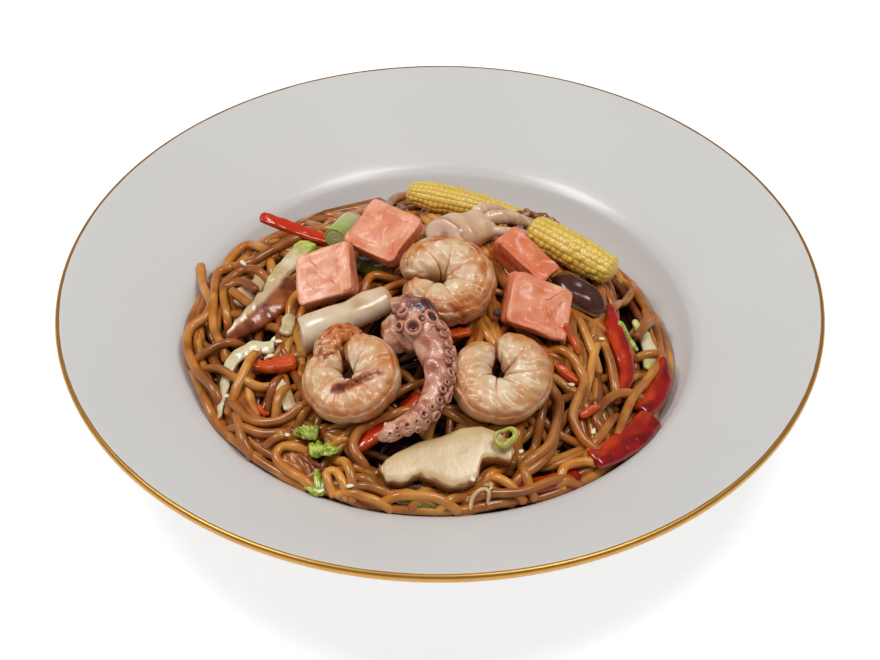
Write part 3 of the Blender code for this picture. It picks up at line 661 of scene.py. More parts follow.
def bundle(name, noodles):
    """One mesh of many noodles. Each carries a tint, and each point a depth, greater under the heap's top and
    on a noodle's lower side, painted as shade and sauce.
    """
    points, quads, fans, uv, tint, depth = [], [], [], [], [], []
    base = 0
    for line, radius, shade in noodles:
        rings = noodle_rings(line, radius)
        rows = len(rings)
        i, j = (a.ravel() for a in np.meshgrid(np.arange(rows - 1), np.arange(SIDES), indexing="ij"))
        k = (j + 1) % SIDES
        quads.append(base + np.stack([i * SIDES + j, (i + 1) * SIDES + j, (i + 1) * SIDES + k,
                                      i * SIDES + k], 1))
        uv.append(np.stack([np.stack([i, j], 1), np.stack([i + 1, j], 1),
                            np.stack([i + 1, j + 1], 1), np.stack([i, j + 1], 1)],
                            1) * [STEP / 10, 1 / SIDES])
        j = np.arange(SIDES)
        caps = [np.stack([np.roll(j, -1), j], 1), np.stack([j, np.roll(j, -1)], 1) + (rows - 1) * SIDES]
        for cap, tip in zip(caps, (rows * SIDES, rows * SIDES + 1)):
            fans.append(base + np.concatenate([cap, np.full((SIDES, 1), tip)], 1))
        points.append(rings.reshape(-1, 3))
        points.append(np.stack([rings[0].mean(0), rings[-1].mean(0)]))
        count = rows * SIDES + 2
        tint.append(np.full(count, shade))
        flat = np.vstack(points[-2:])
        # Painted shade, partly sauce: points on each noodle's lower side and points deep under the heap's top
        # get more depth, eased off near the heap's edge.
        under = np.append(np.tile(np.clip(0.5 - np.sin(ROUND), 0, 1), rows), [0.3, 0.3])
        below = np.maximum(heap_height(flat[:, 0], flat[:, 1]) + 2.0 - flat[:, 2], 0) / 9.0
        depth.append(np.clip((below + 0.3 * under) * np.clip(room(flat) / 9.0, 0.3, 1), 0, 1))
        base += count
    quads, fans = np.vstack(quads), np.vstack(fans)
    flat_uv = np.vstack([np.vstack(uv).reshape(-1, 2), np.zeros((fans.size, 2))])
    make_piece(name, np.vstack(points), quads, fans, flat_uv,
               {"tint": np.concatenate(tint), "depth": np.concatenate(depth)}, fried, ["noodles"])


fried = Finish("fried_noodle", 0.3, Coat_Weight=0.7, Coat_Roughness=0.14, Specular_IOR_Level=0.3)
streak = fried.noise(11.0, 2.0).between(0.3, 0.7)
golden = fried.mix(streak, (202, 116, 30), (230, 164, 72))
brown = fried.mix(streak, (96, 34, 6), (150, 70, 18))
colour = fried.mix(fried.number("tint"), brown, golden)
along = fried.node("ShaderNodeUVMap", {"uv_map": "along_round"}, {})
fibre = fried.noise(1000.0, 3.0, along, (0.35, 3.0, 1.0)).between(0.35, 0.65)
colour = fried.mix(fibre * 0.3, colour, (134, 66, 18))
colour = fried.spotted(colour, (92, 36, 8), 20.0, 2.0, 0.52, 0.7, 0.5)
# Painted shade, partly sauce: noodles darken towards a near-black brown with depth under the heap's top and
# on their lower sides.
fried.set("Base Color", fried.mix(fried.number("depth").between(0.1, 0.8) * 0.93, colour, (44, 15, 3)))
fried.set("Roughness", 0.28 + fried.noise(3.0, 3.0) * 0.25)
fried.relief((7.0, 2.0, 0.3), (2.2, 3.0, 0.1))

draw = np.random.default_rng(20)
layers = []
for count, looseness in ((64, 1.3), (66, 1.0), (62, 0.9)):
    number = np.arange(count)
    bearing = number * GOLDEN_TURN + draw.uniform(0, 6.28)
    radius = heap_reach(bearing) * np.sqrt((number + 0.5) / count) * 0.96
    starts = np.stack([radius * np.cos(bearing), radius * np.sin(bearing)], 1)
    lengths = draw.uniform(60, 170, count)
    heading = draw.uniform(0, 2 * np.pi, count)
    ahead = run_along(starts, heading, lengths / 2, looseness, draw)
    astern = run_along(starts, heading + np.pi, lengths / 2, looseness, draw)
    sweep = []
    for n in range(count):
        steps = max(int(lengths[n] / 2 / STEP), 4)
        way = np.vstack([astern[n, steps:0:-1], ahead[n, :steps]])
        way = way[room(way) > 1.5]
        if len(way) < 6:
            continue
        lay(sweep, way, NOODLE_RADIUS * draw.uniform(0.85, 1.08), draw.uniform(0, 1), 1.6, 2.5)
    layers.append(sweep)
edging = []
for n in range(30):
    middle = math.radians(-95 + 105 * (2 * (n + draw.uniform(0, 1)) / 30 - 1))
    turns = middle + np.linspace(-0.5, 0.5, 26) * draw.uniform(0.35, 0.8)
    drift = (0.6, 4.4)[n % 2] + draw.uniform(0.3, 1.0) * np.sin(np.arange(26) * draw.uniform(0.12, 0.3) + n)
    out = heap_reach(turns) - drift
    way = np.stack([out * np.cos(turns), out * np.sin(turns)], 1)
    lay(edging, way, NOODLE_RADIUS * draw.uniform(0.9, 1.05), draw.uniform(0.2, 1), 2.2, 2.0)
# A few more behind the left pepper, out of the photo's sight, where the layers would leave a hole.
BEHIND = [
    [(-76, 44), (-66, 50), (-55, 60), (-44, 68)], [(-68, 40), (-60, 48), (-50, 56), (-38, 62)],
    [(-70, 56), (-58, 54), (-47, 50), (-36, 50)], [(-74, 52), (-64, 58), (-52, 64), (-40, 65)],
    [(-64, 62), (-58, 50), (-52, 42)], [(-58, 68), (-52, 58), (-45, 48)],
]
behind = []
for number, route in enumerate(BEHIND):
    way = curve_through(route, STEP * 0.7)
    lay(behind, way[room(way) > 1.5], NOODLE_RADIUS, (0.3, 0.8, 0.5)[number % 3], 3.0, 2.5)
bundle("noodles_behind", behind)
bundle("noodles_edge", edging)
bundle("noodles_low", layers[0])
bundle("noodles_mid", layers[1])
bundle("noodles_high", layers[2])

pile_up(lower)
ceiling = ceiling_of(upper)
traced = []
for name, route in TRACED.items():
    ends = np.array(route, float)[[0, 1, -1, -2]]
    run_on = 0.5 if name in ("loop_left_inner", "left_h", "left_i", "left_f") else 6.0
    over = [(a + run_on * (a - b) / np.hypot(*(a - b))) for a, b in (ends[:2], ends[2:])]
    loose_end = name in ("end_left_high", "back_a", "right_e", "left_c", "left_d")
    way = curve_through(route if loose_end else [over[0], *route, over[1]], STEP * 0.7)
    way = way if loose_end else way[room(way) > -1.0]
    lay(traced, way, NOODLE_RADIUS * draw.uniform(0.95, 1.08), draw.uniform(0.2, 1.0), 6.0,
        0.0 if loose_end else 3.5)
bundle("noodles_top", traced)


# The cut vegetables, which lie straight on the noodles: ribbons of pepper, carrot, cabbage, onion and
# leek. Each has the route, width and thickness of its solid, with a curl across it and cut edges.
def seated(rings, node):
    """Moves rings up or down until their lowest point is that of the solid, and presses them to its top."""
    low, high = (corner.z * 1000.0 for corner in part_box(node))
    rings = rings.copy()
    bottom, top = rings[..., 2].min(), rings[..., 2].max()
    press = min(1.0, (high - low) / (top - bottom))
    rings[..., 2] = low + (rings[..., 2] - bottom) * press
    return rings


def squared(wave, power):
    """A wave whose swings are made squarer by a power under one."""
    return np.sign(wave) * np.abs(wave) ** power


def spread(values, count):
    """Values that stand evenly along a length, drawn out to count of them."""
    return np.interp(np.linspace(0, 1, count), np.linspace(0, 1, len(values)), values)


def over_heap(route):
    """Places over the heap's top, from the x, y and lift of each."""
    return [(x, y, float(heap_height(x, y)) + lift) for x, y, lift in route]


EDGE = [(1.0, 0.55), (1.06, 0.0), (1.0, -0.55)]  # of a strip's section, in half widths and half thicknesses
BROAD = np.linspace(-0.9, 0.9, 11)
SECTION = np.array([(u, 1.0) for u in BROAD] + EDGE + [(-u, -1.0) for u in BROAD] + [(-u, -v) for u,
                                                                                     v in EDGE])


def ribbon(route, width, thickness, taper, node, bow=0.0, twist=(0.0, 0.0), rough=0.1, seed=0, spacing=0.9,
           pitch=7.0):
    """Rings of a cut strip: a flat section with round edges, 28 points round, carried along a route.

    The route gives x, y and lift over the heap. The section bows across its width by a parabola, turns
    by twist from end to end, and is made uneven by lumps. Returned with it are each point's place across
    the width, from -1 to 1, and whether it lies on a cut edge, 0 or 1.
    """
    line = curve_through(over_heap(route), spacing)
    count = len(line)
    size = spread(taper, count)
    run = np.concatenate([[0], np.cumsum(np.linalg.norm(np.diff(line, axis=0), axis=1))])
    off_end = np.minimum(run, run[-1] - run) / (0.35 * thickness)
    size = size * np.sqrt(np.clip(1 - (1 - np.minimum(off_end, 1)) ** 2, 0.25, 1))
    across = SECTION[:, 0] * width / 2
    up = SECTION[:, 1] * thickness / 2 + bow * (0.4 - SECTION[:, 0] ** 2)
    angle = np.linspace(*twist, count)[:, None]
    a = size[:, None] * (across * np.cos(angle) - up * np.sin(angle))
    b = size[:, None] ** 0.5 * (across * np.sin(angle) + up * np.cos(angle))
    _, side, lift = ways_out(line)
    rings = line[:, None] + side[:, None] * a[..., None] + lift[:, None] * b[..., None]
    wobble = lumps(rings[..., 0] + 0.5 * rings[..., 2], rings[..., 1], pitch, seed)
    rings = rings + (lift[:, None] + 0.8 * side[:, None] * SECTION[:, :1]) * (rough * wobble)[..., None]
    place = np.broadcast_to(SECTION[:, 0], (count, 28))
    cut = np.broadcast_to(np.clip(np.abs(SECTION[:, 0]) * 10 - 9, 0, 1), (count, 28))
    return seated(rings, node), place, cut


CUT = (0.85, 1.0, 1.0, 0.85)
POINTED = (0.3, 0.85, 1.0, 0.7)
pepper = Finish("pepper_skin", 0.14, Coat_Weight=0.6, Coat_Roughness=0.05, Subsurface_Weight=0.15,
                     Subsurface_Scale=0.002, Subsurface_Radius=(1.0, 0.2, 0.1))
red = pepper.mottled((104, 4, 2), (168, 12, 6), 12.0, 3.0, 0.3, 0.7)
flame = pepper.mottled((150, 26, 2), (196, 62, 8), 9.0, 3.0, 0.35, 0.65)
red = pepper.mix((pepper.number("inner") + (pepper.noise(10.0, 2.0) - 0.5) * 0.9).between(0.3, 0.75), red,
                 flame)
red = pepper.mix(pepper.number("bright"), red, (206, 50, 8))
pepper.set("Base Color", pepper.mix(pepper.number("cut") * 0.35, red, (176, 24, 14)))
pepper.set("Roughness", 0.12 + pepper.noise(4.0) * 0.16)
pepper.relief((7.0, 2.0, 0.6), (1.6, 3.0, 0.16))
# Each strip: x, y and lift over the heap along it, width, thickness, taper, bow, twist at both ends.
PEPPERS = {
    "pepper_back_left": ([(-41, 36, 3), (-50, 40, 6), (-61, 45, 12), (-73, 50, 20)], 5.0, 3.0, CUT, 0.3,
                         (0, 0.3)),
    "pepper_right_tall": ([(67, 7, 4), (68, -7, 5), (71, -19, 5), (72, -31, 4), (67, -44, 3)],
                          7.4, 3.2, (0.45, 0.9, 1.0, 0.85, 0.7), 1.4, (-0.35, 0.6)),
    "pepper_right_edge": ([(88, -16, 10), (86, -27, 6), (82, -36, 4), (76, -44, 3)],
                          10.5, 3.0, (0.25, 0.85, 1.0, 0.9), 2.0, (0.5, 0.1)),
    "pepper_right_low": ([(81, -49, 3), (75, -59, 3), (66, -68, 3), (57, -75, 3)], 11.0, 3.0, CUT, 1.6,
                         (0.35, 0.2)),
    "pepper_front": ([(52, -79, 2), (44, -83, 2), (34, -87, 2), (26, -89, 2)], 7.0, 3.0, CUT, 0.8,
                     (0.1, -0.2)),
    "pepper_middle": ([(-34, -77, 3), (-26, -72, 3), (-16, -64, 3), (-8, -55, 3)], 7.5, 3.0, CUT, 1.0,
                      (0, 0.4)),
}
for seed, (node, (route, width, thickness, taper, bow, twist)) in enumerate(PEPPERS.items()):
    rings, across, cut = ribbon(route, width, thickness, taper, node, bow, twist, seed=seed)
    bright = {"pepper_back_left": 0.75, "pepper_right_tall": 0.2}.get(node, 0.0)
    skin(node + "_cut", rings, pepper,
         {"cut": cut, "bright": bright, "inner": np.clip(0.5 + 0.6 * across, 0, 1)}, [node])

carrot = Finish("carrot_flesh", 0.28, Coat_Weight=0.3, Coat_Roughness=0.15)
orange = carrot.mottled((182, 52, 8), (222, 98, 34), 5.0)
grain = carrot.noise(1.6, 2.0).between(0.6, 0.75)
carrot.set("Base Color", carrot.mix(grain * 0.35, orange, (236, 138, 76)))
carrot.relief((2.2, 3.0, 0.3))
# Each: x, y and lift over the heap along it, width, thickness, taper.
CARROTS = {
    "carrot_left": ([(-72, -33, 3), (-63, -35, 3), (-55, -35, 3)], 6.4, 3.6, (0.35, 0.9, 1.0, 0.95)),
    "carrot_right": ([(44, -35, 2), (50, -38, 2), (56, -41, 2)], 4.0, 3.0, POINTED),
    "carrot_middle": ([(-2, -29, 2), (5, -27, 2), (12, -25, 2)], 4.0, 3.0, CUT),
}
for seed, (node, shape) in enumerate(CARROTS.items()):
    rings, _, cut = ribbon(*shape, node, rough=0.2, seed=seed + 10, pitch=4.0)
    skin(node + "_cut", rings, carrot, {"cut": cut}, [node])

cabbage = Finish("cabbage_leaf", 0.2, Coat_Weight=0.4, Coat_Roughness=0.1, Subsurface_Weight=0.35,
                      Subsurface_Scale=0.003)
along = cabbage.node("ShaderNodeUVMap", {"uv_map": "along_round"}, {})
across = cabbage.node("ShaderNodeSeparateXYZ", {}, {"Vector": along}, "Y")
veins = (across * 34.0 + cabbage.noise(9.0) * 5.0).wave().between(0.2, 1.0)
pale = cabbage.mottled((194, 166, 112), (222, 210, 174), 10.0, 3.0, 0.3, 0.65)
pale = cabbage.spotted(pale, (176, 128, 70), 12.0, 3.0, 0.55, 0.75, 0.6)
pale = cabbage.mix(veins * 0.2, pale, (232, 224, 196))
cabbage.set("Base Color", cabbage.mix(cabbage.number("lime"), pale,
                                      cabbage.mottled((150, 172, 40), (208, 214, 118), 4.0, 3.0, 0.35, 0.65)))
cabbage.set("Normal", cabbage.bump(veins, 0.03, cabbage.bump(cabbage.noise(5.0), 0.3)))
# Each: x, y and lift over the heap along it, width, thickness, taper, bow, twist at both ends.
CABBAGE = {
    "cabbage_bent": ([(-64, -25, 3), (-72, -23, 3), (-79, -26, 3), (-82, -34, 3), (-84, -54, 3)],
                     6.0, 1.8, (0.9, 1.0, 0.75, 0.6, 0.45), 0.6, (0.5, -0.9)),
    "cabbage_short": ([(-58, -9, 2), (-59, -15, 2), (-60, -20, 2)], 5.0, 2.4, CUT, 0.5, (0.3, 0.3)),
    "onion_slice": ([(-61, -41, 2), (-59, -49, 2), (-56, -57, 2)], 6.0, 2.4, POINTED, 0.9, (0.2, -0.2)),
    "cabbage_right": ([(77, 5, 2), (81, -3, 2), (83, -11, 2), (81, -21, 2)], 6.0, 1.8,
                      (0.3, 0.7, 0.95, 1.0, 0.6),
                      1.0, (-0.3, 0.5)),
    "cabbage_stem": ([(-69, 7, 3), (-64, 17, 4), (-58, 28, 4), (-53, 38, 4)], 7.0, 3.4,
                     (0.5, 1.0, 1.05, 1.2), 0.5, (0.3, 0.1)),
}
for seed, (node, (route, width, thickness, taper, bow, twist)) in enumerate(CABBAGE.items()):
    rings, _, _ = ribbon(route, width, thickness, taper, node, bow, twist, rough=0.2, seed=seed + 20)
    share = np.linspace(0, 1, len(rings))[:, None]
    lime = {"cabbage_stem": np.clip((share - 0.7) / 0.2, 0, 1),
            "cabbage_right": np.clip(np.abs(share - 0.6) * 2.0 - 0.25, 0, 0.8)}
    skin(node + "_cut", rings, cabbage, {"lime": lime.get(node, 0.0)}, [node])

greens = Finish("green_flesh", 0.22, Coat_Weight=0.3, Coat_Roughness=0.1, Subsurface_Weight=0.15,
                     Subsurface_Scale=0.002)
lime = greens.mottled((128, 156, 22), (206, 212, 110), 2.5, 3.0, 0.35, 0.65)
olive = greens.mottled((48, 50, 8), (104, 102, 24), 5.0)
greens.set("Base Color", greens.mix(greens.number("fresh"), olive, lime))
greens.relief((3.0, 3.0, 0.2))
# Each: the same, and then how fresh a green it is.
GREENS = {
    "green_pepper": ([(-33, 19, 2), (-27, 12, 2), (-20, 7, 2)], 8.0, 3.6, CUT, 0.8, (0, 0), 0.0),
    "leek_front": ([(-16, -95, 2), (-5, -97, 2), (6, -97, 2)], 6.0, 2.6, CUT, 0.6, (0, 0.3), 0.2),
    "scallion_front": ([(-54.5, -67, 3), (-50, -68, 3.4), (-45.5, -69, 3)], 6.4, 1.8, (0.6, 1.0, 0.8), 1.6,
                       (0.4, -0.3), 0.8),
    "scallion_low": ([(-48.5, -75, 3), (-43, -76, 3.4), (-37.5, -77, 3)], 7.2, 1.8,
                     (0.7, 1.0, 0.8, 1.0, 0.6), 1.2,
                     (-0.3, 0.6), 1.0),
}
for seed, (node, (route, width, thickness, taper, bow, twist, fresh)) in enumerate(GREENS.items()):
    leafy = 0.55 if node.startswith("scallion") else 0.25
    rings, _, _ = ribbon(route, width, thickness, taper, node, bow, twist, rough=leafy, seed=seed + 30,
                                spacing=0.5, pitch=3.0 if node.startswith("scallion") else 7.0)
    skin(node + "_cut", rings, greens, {"fresh": fresh}, [node])
# The leaf at the front splits into three narrow blades that fan out from one foot.
for number, (x, y) in enumerate([(-50.5, -89.5), (-46.0, -82.0), (-40.5, -84.5)]):
    rings, _, _ = ribbon([(-44.5, -93, 2), (0.5 * (x - 44.5), 0.5 * (y - 91), 3.6), (x, y, 2.5)], 3.6, 0.9,
                                (0.6, 1.0, 0.8, 0.25), "leaf_front", 0.7, (0.3, -0.3), seed=number,
                                spacing=0.6)
    skin(f"leaf_front_blade_{number}", rings, greens, {"fresh": 0.9}, ["leaf_front"])


# The mushrooms: a pale slice through cap and stalk at the front, a paler piece at the left, and dark
# shiitake caps, oily and smooth, one seen from the top at the right and one cut through at the left.
mushroom = Finish("mushroom_flesh", 0.28, Coat_Weight=0.3, Coat_Roughness=0.18, Subsurface_Weight=0.2,
                        Subsurface_Scale=0.002)
cream = mushroom.mottled((192, 158, 104), (218, 194, 150), 14.0)
cream = mushroom.spotted(cream, (186, 142, 84), 6.0, 4.0, 0.55, 0.75, 0.35)
brown = mushroom.mottled((104, 52, 20), (166, 100, 46), 3.0)
mushroom.set("Base Color", mushroom.mix(mushroom.number("rind"), cream, brown))
mushroom.relief((9.0, 2.0, 0.3), (1.4, 3.0, 0.08))


def turned_to(lean):
    """Rotation that takes +Z to a direction by the shortest way."""
    x, y, z = lean / np.linalg.norm(lean)
    return np.array([[1 - x * x / (1 + z), -x * y / (1 + z), x],
                     [-x * y / (1 + z), 1 - y * y / (1 + z), y],
                     [-x, -y, z]])


def laid(points, x, y, lift, turn, tilt=(0.0, 0.0)):
    """Sets points made about the origin on the heap: +Z along its slope, leaned, turned in plan."""
    dx = (heap_height(x + 2, y) - heap_height(x - 2, y)) / 4
    dy = (heap_height(x, y + 2) - heap_height(x, y - 2)) / 4
    lean = np.array([-dx, -dy, 1.0]) / math.sqrt(dx * dx + dy * dy + 1)
    lean = lean + np.array([*tilt, 0.0])
    turn = math.radians(turn)
    flat = np.array([[math.cos(turn), -math.sin(turn), 0], [math.sin(turn), math.cos(turn), 0], [0, 0, 1]])
    return points @ (turned_to(lean) @ flat).T + np.array([x, y, float(heap_height(x, y)) + lift])


SLICE_FAR = [(-24, -6), (-21, -2), (-17, 1), (-9, 5.5), (-1, 8), (7, 12), (14, 13), (21, 10.5), (25, 6.5),
             (27, 3)]
SLICE_NEAR = [(-24, -6), (-21, -11), (-15, -12), (-9, -8.5), (-4, -10), (2, -13), (8, -12), (12.6, -9.5),
              (13.6, -6), (14.2, -1.4), (20, -0.8), (25, -2.0), (27, 3)]
SLICE_THICKNESS = 6.4
even = np.linspace(0.03, np.pi - 0.03, 110)
share = (1 - np.cos(even)) / 2
x = -24 + 51 * share
far, near = (np.interp(x, *np.array(side, float).T) for side in (SLICE_FAR, SLICE_NEAR))
for side in (far, near):
    side[1:-1] = 0.25 * side[:-2] + 0.5 * side[1:-1] + 0.25 * side[2:]
turns = circle(64)
reach = squared(np.cos(turns), 0.6)
rise = squared(np.sin(turns), 0.4)
half = np.maximum((far - near) / 2, 0.4)
y = ((far + near) / 2)[:, None] + half[:, None] * reach
thin = np.sqrt(np.clip(1 - (1 - np.minimum(np.minimum(share, 1 - share) * 24, 1)) ** 2, 0.05, 1))[:, None]
rings = np.stack([np.broadcast_to(x[:, None], y.shape), y, rise * thin * SLICE_THICKNESS / 2], 2)
x = rings[..., 0]
to_edge = half[:, None] * (1 - np.abs(reach))
edge = np.clip(1.9 - to_edge / 0.7 + 0.5 * lumps(x, y, 5.0, 46), 0, 1)
where = np.clip(1 - (x + 24) / 7.0, 0, 1) + np.clip((x - 12) / 5.0, 0, 1) * (reach < 0) + 0.8 * (reach < 0)
rind = edge * np.clip(where, 0.2, 1) + 0.8 * np.clip(1 - (x + 24) / 3.0, 0, 1)
skin("mushroom_front_slice", seated(laid(rings, 1, -81, 4.0, 0), "mushroom_front"), mushroom,
     {"rind": np.clip(rind, 0, 1)}, ["mushroom_front"])
rings, _, _ = ribbon([(46, 57, 5), (53, 55, 5), (60, 50, 5), (64, 44, 4)], 5.0, 2.0, (0.5, 1.0, 0.7, 0.3),
                          "crisp_back", 0.9, (0.0, 1.2), rough=0.6, seed=51)
skin("crisp_back_shred", rings, mushroom, {"rind": 0.9}, ["crisp_back"])

cap_skin = Finish("shiitake_skin", 0.16, Coat_Weight=0.5, Coat_Roughness=0.1)
dark = cap_skin.mottled((40, 18, 12), (92, 48, 32), 6.0)
dark = cap_skin.mix(cap_skin.number("warm"), dark, cap_skin.mottled((104, 40, 14), (162, 88, 42), 7.0, 3.0,
                                                                    0.35, 0.65))
under = cap_skin.mottled((188, 150, 104), (222, 198, 158), 6.0)
cap_skin.set("Base Color", cap_skin.mix(cap_skin.number("gills"), dark, under))
cap_skin.set("Roughness", 0.16 + cap_skin.noise(3.0) * 0.2)
cap_skin.relief((5.0, 2.0, 0.3), (1.8, 3.0, 0.14))


def ball(rows, columns, power_round=1.0, power_up=1.0):
    """A unit ball's rows from the bottom up, squared off where the powers are under one."""
    up = np.linspace(-np.pi / 2 + 0.04, np.pi / 2 - 0.04, rows)[:, None]
    turn = circle(columns)
    ring = np.abs(np.cos(up)) ** power_up
    x = ring * squared(np.cos(turn), power_round)
    y = ring * squared(np.sin(turn), power_round)
    return np.stack([x, y, squared(np.sin(up), power_up) + 0 * turn], 2)


rings, across, _ = ribbon([(-79, 3, 3), (-75, 12, 3), (-70.5, 20, 3)], 7.0, 3.6, (0.6, 1.0, 1.1, 0.9),
                            "mushroom_left", 1.2, (-0.3, 0.2), rough=0.45, seed=50)
skin("mushroom_left_slice", rings, cap_skin, {"gills": 0.97 - 0.12 * across, "warm": 1.0},
     ["mushroom_left"])
shred = curve_through([(28, 57.5, 47), (36, 56, 47), (44, 53.5, 46.5), (51, 47.5, 45), (55, 43, 41)], 0.6)
turns = circle(20)
width = np.interp(np.linspace(0, 1, len(shred)), [0, 0.1, 0.4, 0.7, 1], [0.4, 1.3, 2.4, 1.7, 0.5])[:, None]
rings = shred[:, None] + np.stack([0.3 * width * np.cos(turns), 0.75 * width * np.cos(turns),
                                   (0.5 + 0.35 * width) * np.sin(turns)], 2)
rings[..., 2] += 0.5 * lumps(rings[..., 0], rings[..., 1], 4.0, 53)
skin("crisp_back_tip", rings, cap_skin,
     {"gills": np.clip(0.25 * lumps(rings[..., 0], rings[..., 1], 5.0, 54), 0, 1), "warm": 1.0},
     ["crisp_back"])
cap = ball(36, 56, 0.95, 0.8) * np.array([12.5, 7.5, 4.5])
cap[..., 2] -= 1.2 * np.clip(np.hypot(cap[..., 0] / 12.5, cap[..., 1] / 7.5), 0, 1) ** 4
cap[..., 2] += 0.35 * lumps(cap[..., 0], cap[..., 1], 8.0, 8)
skin("shiitake_right_cap", seated(laid(cap, 55, 5, 4.5, -35), "shiitake_right"), cap_skin,
     {"gills": np.clip(-cap[..., 2] / 3 - 0.2, 0, 1), "warm": 0.0}, ["shiitake_right"])
rings, across, _ = ribbon([(-82, -16, 3), (-73, -9, 4), (-65, 0, 4), (-59, 12, 4)], 12.0, 5.0,
                            (0.3, 0.75, 1.0, 1.05, 0.85), "shiitake_left", 1.2, (-0.5, -0.3), rough=0.2,
                            seed=52)
skin("shiitake_left_slice", rings, cap_skin,
     {"gills": np.clip(-1.2 - 4.0 * across, 0, 1), "warm": 1.0}, ["shiitake_left"])


# The young corn: two cobs, pale yellow, covered with small kernels in rows that run from stalk to tip.
corn = Finish("corn_kernels", 0.28, Coat_Weight=0.2, Coat_Roughness=0.15, Subsurface_Weight=0.2,
                      Subsurface_Scale=0.002)
yellow = corn.mottled((216, 176, 66), (236, 210, 112), 12.0)
corn.set("Base Color", corn.mix(corn.number("crown").between(0.0, 0.5), (200, 152, 48), yellow))
corn.relief((0.8, 2.0, 0.05))


def cob(base, tip, radii, rows_round, rows_along, node):
    """A tapering cob: its radius along the axis times one plus the kernels' domes.

    A kernel's dome is the product of two raised half-waves, one round the cob and one along it, and
    every second row is set half a kernel on.
    """
    axis = curve_through([base, tip], np.linalg.norm(np.subtract(tip, base)) / (rows_along * 7))
    count = len(axis)
    share = np.linspace(0, 1, count)
    size = spread(radii, count)
    size = size * np.sqrt(np.clip(1 - (1 - np.minimum(np.minimum(share, 1 - share) * 12, 1)) ** 2, 0.02, 1))
    columns = rows_round * 7
    turn = circle(columns)
    row = np.floor(turn * rows_round / (2 * np.pi))
    round_wave = np.abs(np.sin(turn * rows_round / 2))
    shift = 0.5 * (row % 2) + 0.15 * np.sin(row * 2.3)
    along_wave = np.abs(np.sin(np.pi * (share[:, None] * rows_along + shift)))
    crown = (round_wave * along_wave) ** 0.5
    radius = size[:, None] * (0.945 + 0.075 * crown + 0.02 * lumps(40 * share[:, None], 6 * turn, 5.0, 6))
    axis_way = np.subtract(tip, base) / np.linalg.norm(np.subtract(tip, base))
    side = np.cross(axis_way, [0, 0, 1.0])
    side /= np.linalg.norm(side)
    lift = np.cross(side, axis_way)
    rings = axis[:, None] + radius[..., None] * (side * np.cos(turn)[:, None] + lift * np.sin(turn)[:, None])
    skin(node + "_cob", seated(rings, node), corn, {"crown": crown}, [node])


cob((-14, 72, 46), (41, 57, 43), [4.6, 6.4, 6.3, 5.2, 3.4, 2.0], 15, 26, "corn_left")
cob((36, 42, 51), (70, 21, 43), [6.2, 7.2, 7.4, 7.2, 5.6], 14, 15, "corn_right")


# The salmon: four seared slabs, crisp at the edges and wet, whose flakes show as shallow folds on top.
salmon = Finish("salmon_flesh", 0.25, Coat_Weight=0.25, Coat_Roughness=0.12, Subsurface_Weight=0.35,
                      Subsurface_Scale=0.003, Subsurface_Radius=(1.0, 0.45, 0.3))
pink = salmon.mottled((214, 126, 84), (234, 170, 136), 9.0, 2.0, 0.3, 0.7)
pink = salmon.mix(salmon.number("deep"), pink, (220, 104, 54))
pink = salmon.spotted(pink, (248, 208, 184), 2.5, 4.0, 0.55, 0.75, 0.5)
pink = salmon.mix(salmon.number("flake") * salmon.noise(7.0).between(0.35, 0.6) * 0.55, pink, (250, 214, 190))
# Painted shade: the folds are coloured a deeper orange, standing for the shade in the creases between flakes.
pink = salmon.mix(salmon.number("fold").between(0.2, 0.9) * 0.75, pink, (212, 98, 46))
sear = salmon.noise(5.0, 5.0).between(0.62, 0.72) * 0.4
salmon.set("Base Color", salmon.mix(sear, pink, (186, 96, 50)))
salmon.set("Roughness", 0.3 + salmon.noise(2.0) * 0.4)
salmon.relief((4.5, 2.0, 0.12), (1.3, 3.0, 0.2))
SLAB_SIDE = [(0.04, -1), (0.3, -1), (0.6, -1), (0.85, -0.99), (0.97, -0.93), (1.0, -0.8), (1.0, -0.3),
             (1.0, 0.3),
             (1.0, 0.8), (0.985, 0.93), (0.95, 0.99), (0.85, 1.0), (0.6, 1.0), (0.4, 1.0), (0.2, 1.0),
             (0.03, 1.0)]


def slab(size, columns, corner):
    """A box with soft edges: a superellipse in plan, drawn in at the rows of SLAB_SIDE from foot to top."""
    side = curve_through(SLAB_SIDE, 0.05)
    turn = circle(columns)
    x = squared(np.cos(turn), corner)
    y = squared(np.sin(turn), corner)
    return np.stack([side[:, :1] * x, side[:, :1] * y, side[:, 1:] + 0 * turn], 2) * np.array(size) / 2


